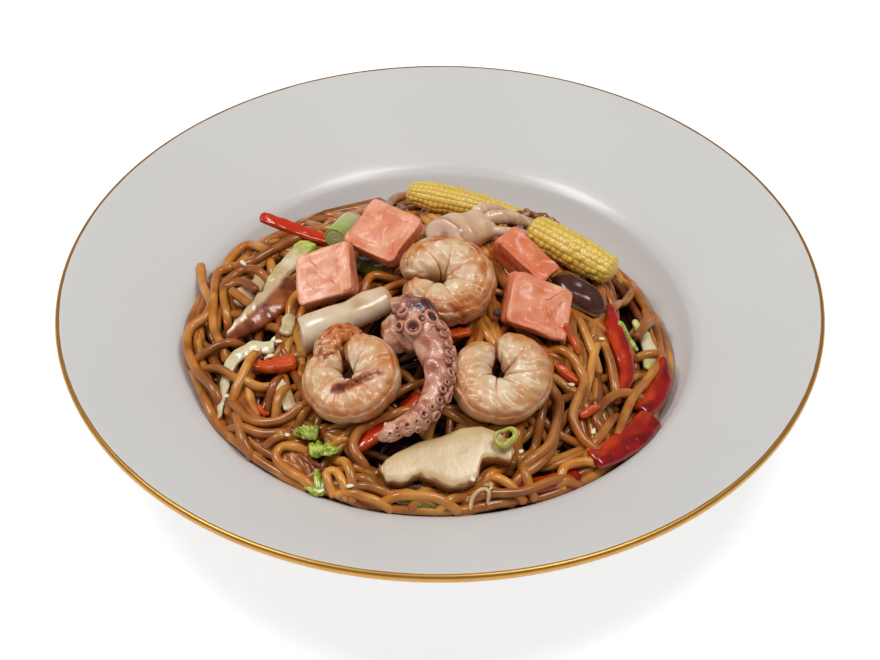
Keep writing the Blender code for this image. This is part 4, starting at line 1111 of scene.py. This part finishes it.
# Each: x, y, turn in degrees, size, how it leans, seed, how deep its colour is.
SALMON = {
    "salmon_back_left": (-22, 21, -36, (23, 24, 12), (0.0, -0.45), 1, 0.15),
    "salmon_left": (-44, 1, 6, (22, 21.5, 12.5), (-0.02, -0.5), 2, 0.0),
    "salmon_back_right": (33, 15, -41, (25, 13, 11.5), (0.05, -0.3), 3, 0.7),
    "salmon_right": (37, -14, -9, (25, 23, 11.5), (0.05, -0.4), 4, 0.4),
}
for node, (x, y, turn, size, tilt, seed, deep) in SALMON.items():
    draw = random.Random(seed)
    block = slab(size, 160, 0.2)
    facing = math.radians(-90 - turn)
    shear = np.array([math.cos(facing), math.sin(facing)]) * 0.28
    block[..., 0] += shear[0] * block[..., 2] + draw.uniform(-0.08, 0.08) * block[..., 1]
    block[..., 1] += shear[1] * block[..., 2] + draw.uniform(-0.08, 0.08) * block[..., 0]
    bend = 1.2 * lumps(block[..., 0], block[..., 1] + block[..., 2], 18.0, seed)
    grain = block[..., 0] * 0.9 + 0.35 * block[..., 1] + 0.6 * block[..., 2] + 1.3 * bend
    wave = np.sin(grain * 2 * np.pi / 7.5)
    cross = np.sin((block[..., 1] - 0.3 * block[..., 0] + 1.5 * bend) * 2 * np.pi / 17)
    broken = np.clip(0.6 + 0.7 * lumps(block[..., 0], block[..., 1], 12.0, seed + 9), 0, 1)
    fold = np.maximum(np.exp(-((1 - wave) / 0.012)) * broken, 0.9 * np.exp(-((1 - cross) / 0.004)))
    flake = np.exp(-((1 + wave) / 0.05))
    out = (block / np.array(size) * 2) ** 7
    out = out / np.linalg.norm(out, axis=2, keepdims=True)
    swell = 0.25 * lumps(block[..., 0] + block[..., 2], block[..., 1] - block[..., 2], 11.0, seed + 5)
    low = np.clip(0.45 - 1.3 * block[..., 2] / size[2], 0, 1)
    block = block + out * (swell - 0.45 * fold)[..., None]
    rings = seated(laid(block, x, y, size[2] / 2, turn, tilt), node)
    skin(node + "_slab", rings, salmon,
         {"fold": fold, "deep": np.clip(deep + low, 0, 1), "flake": flake}, [node])


# The shrimps: three, peeled and curled up until tail meets neck, with the shell's segments still marked
# in the flesh, orange lines between them, and brown patches where they were seared.
shrimp = Finish("shrimp_flesh", 0.22, Coat_Weight=0.45, Coat_Roughness=0.1, Subsurface_Weight=0.3,
                      Subsurface_Scale=0.003, Subsurface_Radius=(1.0, 0.6, 0.4))
seam = shrimp.number("seam")
sear = shrimp.number("sear")
blush = shrimp.number("blush")
crisp = shrimp.number("crisp")
white = shrimp.mottled((198, 146, 88), (224, 198, 160), 9.0, 3.0, 0.3, 0.7)
white = shrimp.mix(blush * shrimp.noise(14.0, 2.0).between(0.4, 0.62), white, (206, 122, 52))
white = shrimp.spotted(white, (196, 110, 46), 4.0, 5.0, 0.54, 0.66, 0.5)
white = shrimp.mix(shrimp.number("milky") * 0.6, white, (234, 220, 194))
seam = seam * shrimp.noise(2.5, 4.0).between(0.3, 0.55)
white = shrimp.mix(seam * 0.9, white, (210, 88, 18))
specks = shrimp.noise(1.4, 5.0).between(0.4, 0.62)
lengthwise = shrimp.node("ShaderNodeUVMap", {"uv_map": "along_round"}, {})
lines = shrimp.noise(1000.0, 4.0, lengthwise, (5.0, 28.0, 1.0)).between(0.42, 0.62)
seared = (sear * (specks * 0.3 + lines * 0.7 + 0.2)).between(0.1, 0.8)
tanned = shrimp.mix(seared, white, (176, 88, 28))
charred = (crisp * (specks * 0.4 + 0.7)).between(0.35, 0.9)
tanned = shrimp.mix(crisp.between(0.05, 0.5), tanned, (168, 82, 26))
shrimp.set("Base Color", shrimp.mix(charred, tanned, (84, 28, 6)))
shrimp.set("Coat Weight", 0.3 - charred * 0.25)
shrimp.set("Roughness", 0.26 + shrimp.noise(3.0) * 0.25 + charred * 0.25)
shrimp.relief((5.0, 2.0, 0.22), (1.5, 3.0, 0.12))
# Each: x, y, turn, curl, girth, browning, blush, half the gap in degrees, bearing and distance out of a bar
# of sear.
SHRIMPS = {
    "shrimp_top": (1, -8, 174, 11.4, 9.4, 0.9, 0.55, 6, None),
    "shrimp_left": (-34, -52, 103, 11.0, 8.7, 0.45, 0.9, 5, (-71, 6.2)),
    "shrimp_right": (22, -51, 99, 11.4, 8.9, 0.35, 0.5, 5, None),
}
SEGMENTS = 7.0
for number, (node, shape) in enumerate(SHRIMPS.items()):
    x, y, turn, curl, girth, browned, warm, half_gap, bar = shape
    half_gap = math.radians(half_gap)
    share = np.linspace(0, 1, 210)
    bearing = math.radians(turn) - half_gap - share * (2 * math.pi - 2 * half_gap)
    turns = circle(72)
    size = np.interp(share, [0, 0.02, 0.05, 0.12, 0.3, 0.6, 0.8, 0.9, 0.97, 1],
                     [0.35, 0.62, 0.8, 0.95, 1.0, 1.0, 0.88, 0.75, 0.6, 0.3]) * girth
    size = np.convolve(np.pad(size, 3, "edge"), np.ones(7) / 7, "valid")
    rise = 0.8 * np.sin(share * 6) + (3.5 * np.clip((share - 0.86) / 0.14, 0, 1) ** 2 if bar else 0)
    slope = share[:, None] * SEGMENTS + 0.25 * np.cos(turns) + 0.1 * np.sin(turns)
    phase = slope % 1.0
    inner = np.clip(-np.cos(turns), 0, 1)
    crease = np.exp(-(np.minimum(phase, 1 - phase) / 0.09) ** 2)
    swell = 1.0 + 0.03 * np.sin(np.pi * phase) - crease * (0.02 + 0.11 * inner)
    radial = size[:, None] * swell * squared(np.cos(turns), 0.85)
    upward = size[:, None] * swell * squared(np.sin(turns), 0.85) * 0.93
    reach = np.maximum(curl * (1.0 - 0.12 * share[:, None] ** 2) + radial, 1.2)
    ridge = np.exp(-((turns - 0.62 - 0.05 * np.sin(share[:, None] * 9)) / 0.075) ** 2)
    ridge = ridge * np.sin(np.pi * share[:, None]) ** 0.4
    bank = np.exp(-((turns - 0.82) / 0.1) ** 2) * np.sin(np.pi * share[:, None]) ** 0.4
    upward = upward - 0.9 * ridge + 0.4 * bank
    rings = np.stack([reach * np.cos(bearing)[:, None], reach * np.sin(bearing)[:, None],
                      upward + rise[:, None]], 2)
    rings[..., 2] += 0.3 * lumps(rings[..., 0] + rings[..., 2], rings[..., 1], 6.0, number)
    line = np.exp(-(np.minimum(phase, 1 - phase) / 0.042) ** 2)
    patchy = np.clip(0.5 + 0.6 * lumps(rings[..., 0], rings[..., 1], 9.0, 30 + number), 0, 1)
    seam = np.clip(line * (0.5 + 0.5 * inner) * (0.5 + patchy), 0, 1)
    seam = np.maximum(seam, ridge)
    top = np.clip(np.sin(turns) * 1.2, 0, 1)
    outer = np.clip(1.4 * np.cos(turns), 0, 1)
    sear = browned * (0.4 + 0.6 * patchy) * np.clip(1.5 * np.cos(turns) + 0.2, 0, 1)
    sear = sear + (1.0 if bar else 0.4) * np.clip((share[:, None] - 0.88) / 0.12, 0, 1)
    crisp = np.zeros_like(sear)
    if bar:
        over = np.array([math.cos(math.radians(bar[0])), math.sin(math.radians(bar[0]))])
        past = rings[..., 0] * over[0] + rings[..., 1] * over[1] - bar[1]
        aside = rings[..., 0] * over[1] - rings[..., 1] * over[0]
        past = past + 0.2 * lumps(rings[..., 0], rings[..., 1], 5.0, 40)
        wide = np.interp(aside, [-12, -4, 3, 8], [1.5, 2.3, 2.6, 1.8])
        strong = np.interp(aside, [-14, -11, -2, 3, 7, 9.5], [0, 0.6, 0.75, 1.0, 1.0, 0])
        crisp = np.exp(-((past / wide) ** 2)) * strong * np.clip(3 * top, 0, 1)
    skin(node + "_curl", seated(laid(rings, x, y, girth, 0, (0.0, -0.15)), node), shrimp,
         {"seam": seam, "sear": np.clip(sear, 0, 1), "blush": warm * (1 - 0.6 * patchy) * (0.5 + 0.5 * outer),
          "milky": np.clip(0.3 - 1.2 * np.cos(turns), 0, 1) * top * (0.4 + 0.6 * patchy), "crisp": crisp},
          [node])


CURLED_TAIL = [(-43.0, -47, 61.0), (-42.0, -41.5, 64.0), (-38.5, -38, 66.0), (-33.5, -37.5, 66.5),
               (-30, -41, 64.5)]
tail_line = curve_through(CURLED_TAIL, 0.6)
turns = circle(28)
width = np.interp(np.linspace(0, 1, len(tail_line)), [0, 0.08, 0.3, 0.6, 0.9, 1],
                  [3.6, 5.0, 5.2, 4.4, 3.0, 1.2])
_, side, lift = ways_out(tail_line)
rings = tail_line[:, None] + width[:, None, None] * (side[:, None] * np.cos(turns)[:, None]
                                                     + 0.55 * lift[:, None] * np.sin(turns)[:, None])
rings = rings + lift[:, None] * (0.35 * lumps(rings[..., 0], rings[..., 1], 3.0, 77))[..., None]
skin("shrimp_left_tail", rings, shrimp,
     {"seam": 0.0, "sear": np.linspace(0.5, 1.0, len(rings))[:, None] * (0.75 - 0.25 * np.cos(turns)),
      "blush": 1.0,
      "milky": 0.0, "crisp": np.clip(0.5 * lumps(rings[..., 0], rings[..., 1], 4.0, 78), 0, 0.7)},
      ["shrimp_left"])


# The squid: a rolled piece of the body, smooth and pale, and a head with its short arms; the octopus arm
# lies in front of it, mauve, with its cups in two rows on the right.
def tube(route, radii, columns=40, spacing=0.7, lead=(0.4, 0.75, 0.95, 1.0), tail=(1.0, 0.95, 0.75, 0.4)):
    """A round body's line along a route in mm, its radius there, and the ways out from it at each point.

    The first and last rings shrink by the shares of lead and tail, so the ends close rounded.
    """
    line = curve_through(route, spacing)
    count = len(line)
    size = spread(radii, count)
    size[:len(lead)] *= lead
    size[count - len(tail):] *= tail
    _, side, lift = ways_out(line)
    turns = circle(columns)
    out = side[:, None] * np.cos(turns)[:, None] + lift[:, None] * np.sin(turns)[:, None]
    return line, size, out


def uneven(line, size, out, depth, pitch, seed):
    """Rings of a body whose radius rises and falls by depth mm in lumps of about pitch mm."""
    rings = line[:, None] + out * size[:, None, None]
    wobble = depth * lumps(rings[..., 0] + 0.6 * rings[..., 2], rings[..., 1] - 0.4 * rings[..., 2], pitch,
                           seed)
    return rings + out * (wobble * np.minimum(size / 3.0, 1.0)[:, None])[..., None]


squid = Finish("squid_flesh", 0.2, Coat_Weight=0.35, Coat_Roughness=0.12, Subsurface_Weight=0.3,
                     Subsurface_Scale=0.003, Subsurface_Radius=(1.0, 0.7, 0.5))
rosy = squid.number("rosy")
pearl = squid.mottled((192, 156, 112), (220, 200, 170), 12.0, 2.0, 0.3, 0.65)
pearl = squid.mix(rosy * 0.5, pearl, (224, 180, 148))
pearl = squid.mix(squid.number("face") * 0.75, pearl, (242, 218, 196))
pearl = squid.mix(squid.number("tanned"), pearl, squid.mix(rosy, (182, 120, 70), (146, 98, 84)))
squid.set("Base Color", squid.spotted(pearl, (190, 146, 98), 7.0, 4.0, 0.56, 0.75, 0.45))
squid.set("Roughness", 0.16 + squid.noise(4.0) * 0.2)
squid.relief((7.0, 3.0, 0.25))
line, size, out = tube([(-53, -28, 61), (-36, -22, 66), (-19, -14, 69)], [7.2, 6.9, 6.5, 6.2, 5.2], 56,
                       lead=(1.0,), tail=(0.97, 0.9, 0.7))
rings = uneven(line, size, out, 0.4, 18.0, 3)
way = (line[0] - line[3]) / np.linalg.norm(line[0] - line[3])
hollow = [line[0] + out[0] * size[0] * 0.66 - way * 2.6, line[0] + out[0] * size[0] * 0.7 - way * 1.0,
          line[0] + out[0] * size[0] * 0.74 - way * 0.1, line[0] + out[0] * size[0] * 0.95]
rings = np.concatenate([np.array(hollow), rings])
slant = np.linspace(1, 0, len(rings))[:, None] ** 6 * (out[0] @ np.array([0.2, 0.5, 0.8])) * 3.0
rings = rings - way * slant[..., None]
share = np.linspace(0, 1, len(rings))[:, None] * np.ones((1, 56))
tanned = np.clip(1 - share / 0.06, 0, 1) * 0.7 + np.clip((share - 0.88) / 0.12, 0, 1) * 0.7
skin("squid_roll_tube", seated(rings, "squid_roll"), squid,
     {"tanned": tanned, "rosy": 0.0, "face": 0.0},
     ["squid_roll"])

head_route = over_heap([(1.5, 27.5, 8), (11, 32.5, 8), (22, 37, 8)])
line, size, out = tube(head_route, [7.0, 7.6, 6.8, 3.8], 48, lead=(1.0,), tail=(0.9, 0.7, 0.45))
out = out * np.array([1.0, 1.2, 1.0])
rings = uneven(line, size, out, 0.4, 12.0, 9)
way = (line[0] - line[3]) / np.linalg.norm(line[0] - line[3])
faces = np.array([-0.55, -0.68, 0.48])  # the way that the cut end looks
near_cut = np.clip(1 - np.arange(len(line)) * 0.7 / 12.0, 0, 1)[:, None] ** 1.5
slant = ((rings - line[:, None]) @ faces) / (way @ faces)
rings = rings - (slant * near_cut)[..., None] * way
shares = [(0.1, -0.5), (0.3, -0.2), (0.6, 0.4), (0.85, 0.7), (0.96, 0.5)]
spokes = np.array([out[0] * size[0] * share for share, _ in shares])
depths = np.array([depth for _, depth in shares])[:, None] - (spokes @ faces) / (way @ faces)
rings = seated(np.concatenate([line[0] + spokes + depths[..., None] * way, rings]), "squid_head")
tanned = np.concatenate([[0.5, 0.05, 0.0, 0.0, 0.3, 0.6, 0.5, 0.3, 0.12], np.zeros(len(line) - 4)])[:, None]
face = np.concatenate([[0.3, 1.0, 1.0, 1.0, 0.6], np.zeros(len(line))])[:, None]
skin("squid_head_tube", rings, squid, {"tanned": tanned, "rosy": 1.0, "face": face}, ["squid_head"])
# The arms of the head: places along each as x, y and lift over the heap, its radii, and how brown its tip is.
SQUID_ARMS = [
    ([(13, 41, 12), (20, 45.5, 13), (28, 47, 12)], [2.4, 2.8, 2.3, 1.2], 0.3),
    ([(18, 37, 12), (27, 39.5, 13.5), (35, 42, 11.5), (41, 44, 9.5)], [2.6, 2.7, 2.4, 1.9, 0.9], 0.8),
    ([(17, 32, 8), (25, 33, 8.5), (33, 36, 8), (38, 38, 7)], [2.2, 1.9, 1.7, 0.9], 0.5),
    ([(24, 42, 9), (32, 46, 10.5), (40, 48, 10)], [1.6, 1.7, 1.4, 0.8], 0.9),
]
for number, (arm, radii, browned) in enumerate(SQUID_ARMS):
    line, size, out = tube(over_heap(arm), radii, 20)
    rings = uneven(line, size, out, 0.12, 5.0, 70 + number)
    tip = np.linspace(0, 1, len(line))[:, None] * np.ones((1, 20))
    skin(f"squid_arm_{number}", rings, squid,
         {"tanned": np.clip(browned * tip**2 + 0.15 * lumps(rings[..., 0], rings[..., 1], 3.0, 80), 0, 1),
          "rosy": 0.7, "face": 0.3 * (1 - tip)}, ["squid_head"])

octopus = Finish("octopus_skin", 0.25, Coat_Weight=0.5, Coat_Roughness=0.12, Subsurface_Weight=0.15,
                      Subsurface_Scale=0.002)
flesh = octopus.mottled((176, 104, 80), (218, 168, 138), 7.0, 3.0, 0.35, 0.65)
flesh = octopus.spotted(flesh, (140, 74, 62), 1.2, 2.0, 0.55, 0.7, 0.4)
blotch = (octopus.number("purple") + (octopus.noise(4.0, 4.0) - 0.5) * 1.1).between(0.35, 0.8)
octopus.set("Base Color", octopus.mix(blotch, flesh, (78, 34, 42)))
octopus.relief((4.0, 3.0, 0.5), (1.0, 3.0, 0.2))
ARM_ROUTE = [(-17, -31, 11), (-11, -30, 13), (-5, -39, 11), (-1, -50, 9), (-1, -61, 7), (-8, -72, 6),
             (-23, -79, 5)]
ARM_RADII = [5.5, 7.4, 7.0, 6.2, 5.6, 5.2, 4.6, 3.8, 2.4]
line, size, out = tube(over_heap(ARM_ROUTE), ARM_RADII, 48, 0.6, (0.3, 0.55, 0.75, 0.88, 0.96),
                       (1.0, 0.95, 0.8, 0.6, 0.35))
free = uneven(line, size, out, 0.4, 9.0, 12)
rings = seated(free, "octopus_arm")
drop = rings[..., 2].min() - free[..., 2].min()
to_right = out[..., 0] * 0.9 + out[..., 2] * 0.2
toward_stump = np.clip(1 - np.linspace(0, 1, len(line)) / 0.25, 0, 1)[:, None] ** 0.5
skin("octopus_arm_body", rings, octopus,
     {"purple": np.clip(0.1 + 0.7 * to_right + 0.55 * toward_stump, 0, 1)}, ["octopus_arm"])
CUP = [(0.6, -0.7), (0.92, -0.3), (1.0, 0.2), (1.02, 0.5), (0.88, 0.66), (0.7, 0.58), (0.58, 0.34),
       (0.3, 0.28)]
suckers = Finish("sucker_pink", 0.25, Coat_Weight=0.4, Coat_Roughness=0.12)
# Painted shade: each cup is dark down in its hollow and pink on its rim.
suckers.set("Base Color", suckers.mix(suckers.number("rim"), (88, 36, 34), (206, 140, 112)))
suckers.relief((1.0, 3.0, 0.1))
# Pink share for each ring of the CUP profile. It falls to none at the bottom of the hollow, which is painted
# dark as shade.
rim = np.array([0.2, 0.5, 0.9, 1.0, 1.0, 0.8, 0.2, 0.0])[:, None] * np.ones(18)


def cup(centre, outward, size):
    """Rings of a sucker: the CUP profile turned about the way outward, at a centre, scaled by size."""
    first = np.cross(outward, [0.3, 0.1, 1.0])
    first /= np.linalg.norm(first)
    second = np.cross(outward, first)
    turns = circle(18)
    ring = first * np.cos(turns)[:, None] + second * np.sin(turns)[:, None]
    profile = np.array(CUP)
    return centre + size * (profile[:, 0, None, None] * ring + profile[:, 1, None, None] * outward)


cups = []
for number, place in enumerate(np.linspace(0.3, 0.95, 15)):
    index = int(place * (len(line) - 1))
    along = line[index] - line[index - 1]
    side = np.cross(along / np.linalg.norm(along), [0, 0, 1.0])
    side *= np.sign(side[0]) / np.linalg.norm(side)
    for row in (0, 1):
        angle = 0.8 * row + 0.12 * math.sin(number * 2.1)
        outward = side * math.cos(angle) + np.array([0, 0, 1.0]) * math.sin(angle)
        centre = line[index] + [0, 0, drop] + outward * size[index] * 0.9
        uneven_size = 1 + 0.22 * math.sin(number * 3.7 + 2 * row)
        cups.append(cup(centre, outward, size[index] * (0.36 - 0.08 * row) * uneven_size))
STUMP = np.array([-9.5, -36.0, 66.5])
# Cups of the stump: the way each one faces from the stump's middle, and its radius.
STUMP_CUPS = [((0.62, -0.1, 0.75), 3.2), ((-0.05, -0.62, 0.72), 3.4), ((0.72, -0.62, 0.42), 3.4),
              ((-0.45, 0.1, 0.85), 2.4), ((0.3, -0.35, 0.95), 2.2), ((-0.6, -0.45, 0.6), 2.0)]
stump = ball(40, 60) * np.array([9.0, 8.4, 7.6])
stump_way = stump / np.linalg.norm(stump, axis=2, keepdims=True)
stump = stump + stump_way * (0.8 * lumps(stump[..., 0] + stump[..., 2], stump[..., 1] - stump[..., 2], 8.0,
                                         61)
                             )[..., None]
skin("octopus_stump", stump + STUMP, octopus,
     {"purple": np.clip(0.45 + 0.45 * stump_way[..., 0] + 0.2 * stump_way[..., 1], 0, 1)}, ["octopus_arm"])
flap = ball(32, 48) * np.array([5.8, 7.6, 6.6])
flap = flap + 0.5 * lumps(flap[..., 0] + flap[..., 2], flap[..., 1], 7.0, 62)[..., None] * flap / 6.0
skin("octopus_flap", flap + np.array([-16.5, -36.0, 65.5]), octopus, {"purple": 0.0},
     ["octopus_arm"])
for outward, size_here in STUMP_CUPS:
    outward = np.array(outward) / np.linalg.norm(outward)
    cups.append(cup(STUMP + outward * 8.6, outward, size_here))
skin("octopus_cups", np.array(cups), suckers, {"rim": rim}, ["octopus_arm"])


# The scallion: a cut length behind the salmon whose layers show at its end, and a slice that leans on the
# mushroom.
scallion = Finish("scallion_layers", 0.2, Coat_Weight=0.4, Coat_Roughness=0.1, Subsurface_Weight=0.2,
                         Subsurface_Scale=0.002)
scallion.set("Base Color", scallion.mix(
    scallion.number("green"), scallion.mottled((190, 178, 128), (214, 210, 176), 5.0),
    scallion.mottled((108, 142, 24), (170, 194, 76), 4.0)))
scallion.relief((2.0, 3.0, 0.15))
line, size, out = tube(over_heap([(-42, 31, 5), (-36, 46, 5)]), [4.6, 4.5, 4.2], 36, 0.7, (1.0,), (0.95, 0.8))
rings = line[:, None] + out * size[:, None, None]
way = (line[0] - line[2]) / np.linalg.norm(line[0] - line[2])
layers_in = [(0.12, -0.3), (0.3, 0.1), (0.42, -0.35), (0.6, 0.15), (0.72, -0.35), (0.88, 0.1), (0.97, 0.0)]
face_rings = np.array([line[0] + out[0] * size[0] * share + way * depth for share, depth in layers_in])
rings = np.concatenate([face_rings, rings])
green = np.concatenate([[0.1, 0.5, 0.2, 0.6, 0.3, 0.95, 1.0], np.linspace(0.9, 0.0, len(line))])
skin("scallion_back_stalk", seated(rings, "scallion_back"), scallion,
     {"green": green[:, None] * np.ones(36)}, ["scallion_back"])
RING_RADIUS = 3.2
RING_PLACE = np.array([24.0, -77.3, 50.6])
turns = np.linspace(0, 2 * np.pi, 40, endpoint=False)
around = circle(12)
hoop = RING_PLACE + RING_RADIUS * (np.cos(turns)[:, None] * [1, 0, 0]
                                                      + np.sin(turns)[:, None] * [0, 0.78, 0.62])
hoop_way = (hoop - RING_PLACE) / RING_RADIUS
thick = (1.15 + 0.4 * np.sin(turns + 2.4))[:, None, None]
hoop = hoop + hoop_way * (0.75 * np.sin(2 * turns + 0.6) + 0.3 * np.sin(3 * turns))[:, None]
rings = hoop[:, None] + thick * (hoop_way[:, None] * np.cos(around)[:, None]
                                 + np.array([0, -0.62, 0.78]) * 1.1 * np.sin(around)[:, None])
rings = np.concatenate([rings, rings[:1]])
ring_flesh = Finish("ring_flesh", 0.25, Coat_Weight=0.3, Coat_Roughness=0.1)
ring_flesh.set("Base Color", ring_flesh.mottled((150, 146, 26), (206, 198, 104), 3.0))
ring_flesh.relief((1.5, 3.0, 0.1))
skin("scallion_ring_slice", rings, ring_flesh, replaces=["scallion_ring"], close=False)


# What is strewn over it: white sesame, one peppercorn, crumbs of carrot, a shred of leaf and two thin pale
# sprouts. Each lies on whatever is highest at its place.
pile_up(upper)


def pile_top(places):
    """Highest point of the pile within half a millimetre of each place."""
    spots = cells(places)[..., None, :] + np.array([(i, j) for i in (-1, 0, 1) for j in (-1, 0, 1)])
    return pile[spots[..., 0], spots[..., 1]].max(-1)


sesame = Finish("sesame_coat", 0.4)
sesame.set("Base Color", sesame.mottled((226, 208, 164), (246, 238, 212), 2.0))
sesame.relief((0.7, 3.0, 0.05))
SEEDS = np.array([(-78.7, 26.3), (-66.3, 11.6), (-54.2, 13.9), (-70.4, -28.6), (-67.0, -27.4), (-64.9, -32.0),
                  (-43.9, -91.8), (-64.5, -21.0), (-62.0, -24.0), (-57.0, -70.0), (-81.0, -47.0),
                  (-33.0, -94.0),
                  (30.0, -80.0), (58.0, -61.0), (50.0, -42.0), (63.0, -18.0), (12.0, -92.0), (-20.0, -70.0)])
seed_shape = ball(7, 10) * np.array([1.6, 0.95, 0.5])
seed_shape[..., 1] *= 1 - 0.35 * seed_shape[..., 0] / 1.6
draw = np.random.default_rng(31)
bearing = draw.uniform(0, 2 * np.pi, len(SEEDS))
lean = draw.uniform(-0.5, 0.5, len(SEEDS))
cos, sin = np.cos(bearing)[:, None, None], np.sin(bearing)[:, None, None]
x, y = seed_shape[..., 0], seed_shape[..., 1]
seeds = np.stack([x * cos - y * sin, x * sin + y * cos, seed_shape[..., 2] + lean[:, None, None] * x], 3)
seeds += np.column_stack([SEEDS, pile_top(SEEDS) + 0.5])[:, None, None]
skin("sesame_seeds", seeds, sesame, replaces=["noodles"])

peppercorn_skin = Finish("peppercorn_skin", 0.5)
peppercorn_skin.set("Base Color", peppercorn_skin.mottled((40, 34, 32), (92, 80, 74), 1.0))
peppercorn_skin.relief((0.9, 2.0, 0.3))
place = np.array([[21.8, -19.1]])
corn_shape = ball(14, 20) * 1.5
corn_shape += np.column_stack([place, pile_top(place) + 1.2])[0]
skin("peppercorn", corn_shape, peppercorn_skin, replaces=["noodles"])


def thread(route, radius, lift, columns=10):
    """Rings of a thin strand that follows the pile's top along x, y places, lifted above it."""
    flat = curve_through(route, 1.0)
    height = pile_top(flat) + radius * 0.7
    for _ in range(6):
        height = np.maximum(height, eased(height))
    line, size, out = tube(np.column_stack([flat, height + lift])[::2], [radius, radius * 1.1, radius * 0.8],
                           columns)
    return line[:, None] + out * size[:, None, None]


# Each: x and y of places along it, its finish, its slot, its radius.
CRUMBS = {
    "crumb_left": ([(-85, -3.5), (-83.5, -6), (-82, -8)], carrot, "carrot", 0.8),
    "crumb_front_left": ([(-69, -50), (-67, -54), (-64, -58)], carrot, "carrot", 1.0),
    "carrot_crescent": ([(53, -57.5), (56, -55), (60.5, -53.5)], carrot, "carrot", 1.7),
    "crumb_right": ([(48, -24), (51, -27), (53, -31)], carrot, "carrot", 1.3),
    "sprout_loop": ([(11, -100), (12, -96), (15, -94), (18, -95), (17, -99)], mushroom, "mushroom", 0.8),
    "sprout_short": ([(16, -90), (19, -92), (18, -95)], mushroom, "mushroom", 0.8),
    "leaf_shred": ([(70, -6), (75, -9), (78, -14)], greens, "greens", 1.2),
}
for name, (route, finish, slot, radius) in CRUMBS.items():
    rings = thread(route, radius, 0.0)
    numbers = {carrot: {"cut": 0.3}, mushroom: {"rind": 0.1}, greens: {"fresh": 1.0}}[finish]
    skin(name, rings, finish, numbers, ["noodles"])
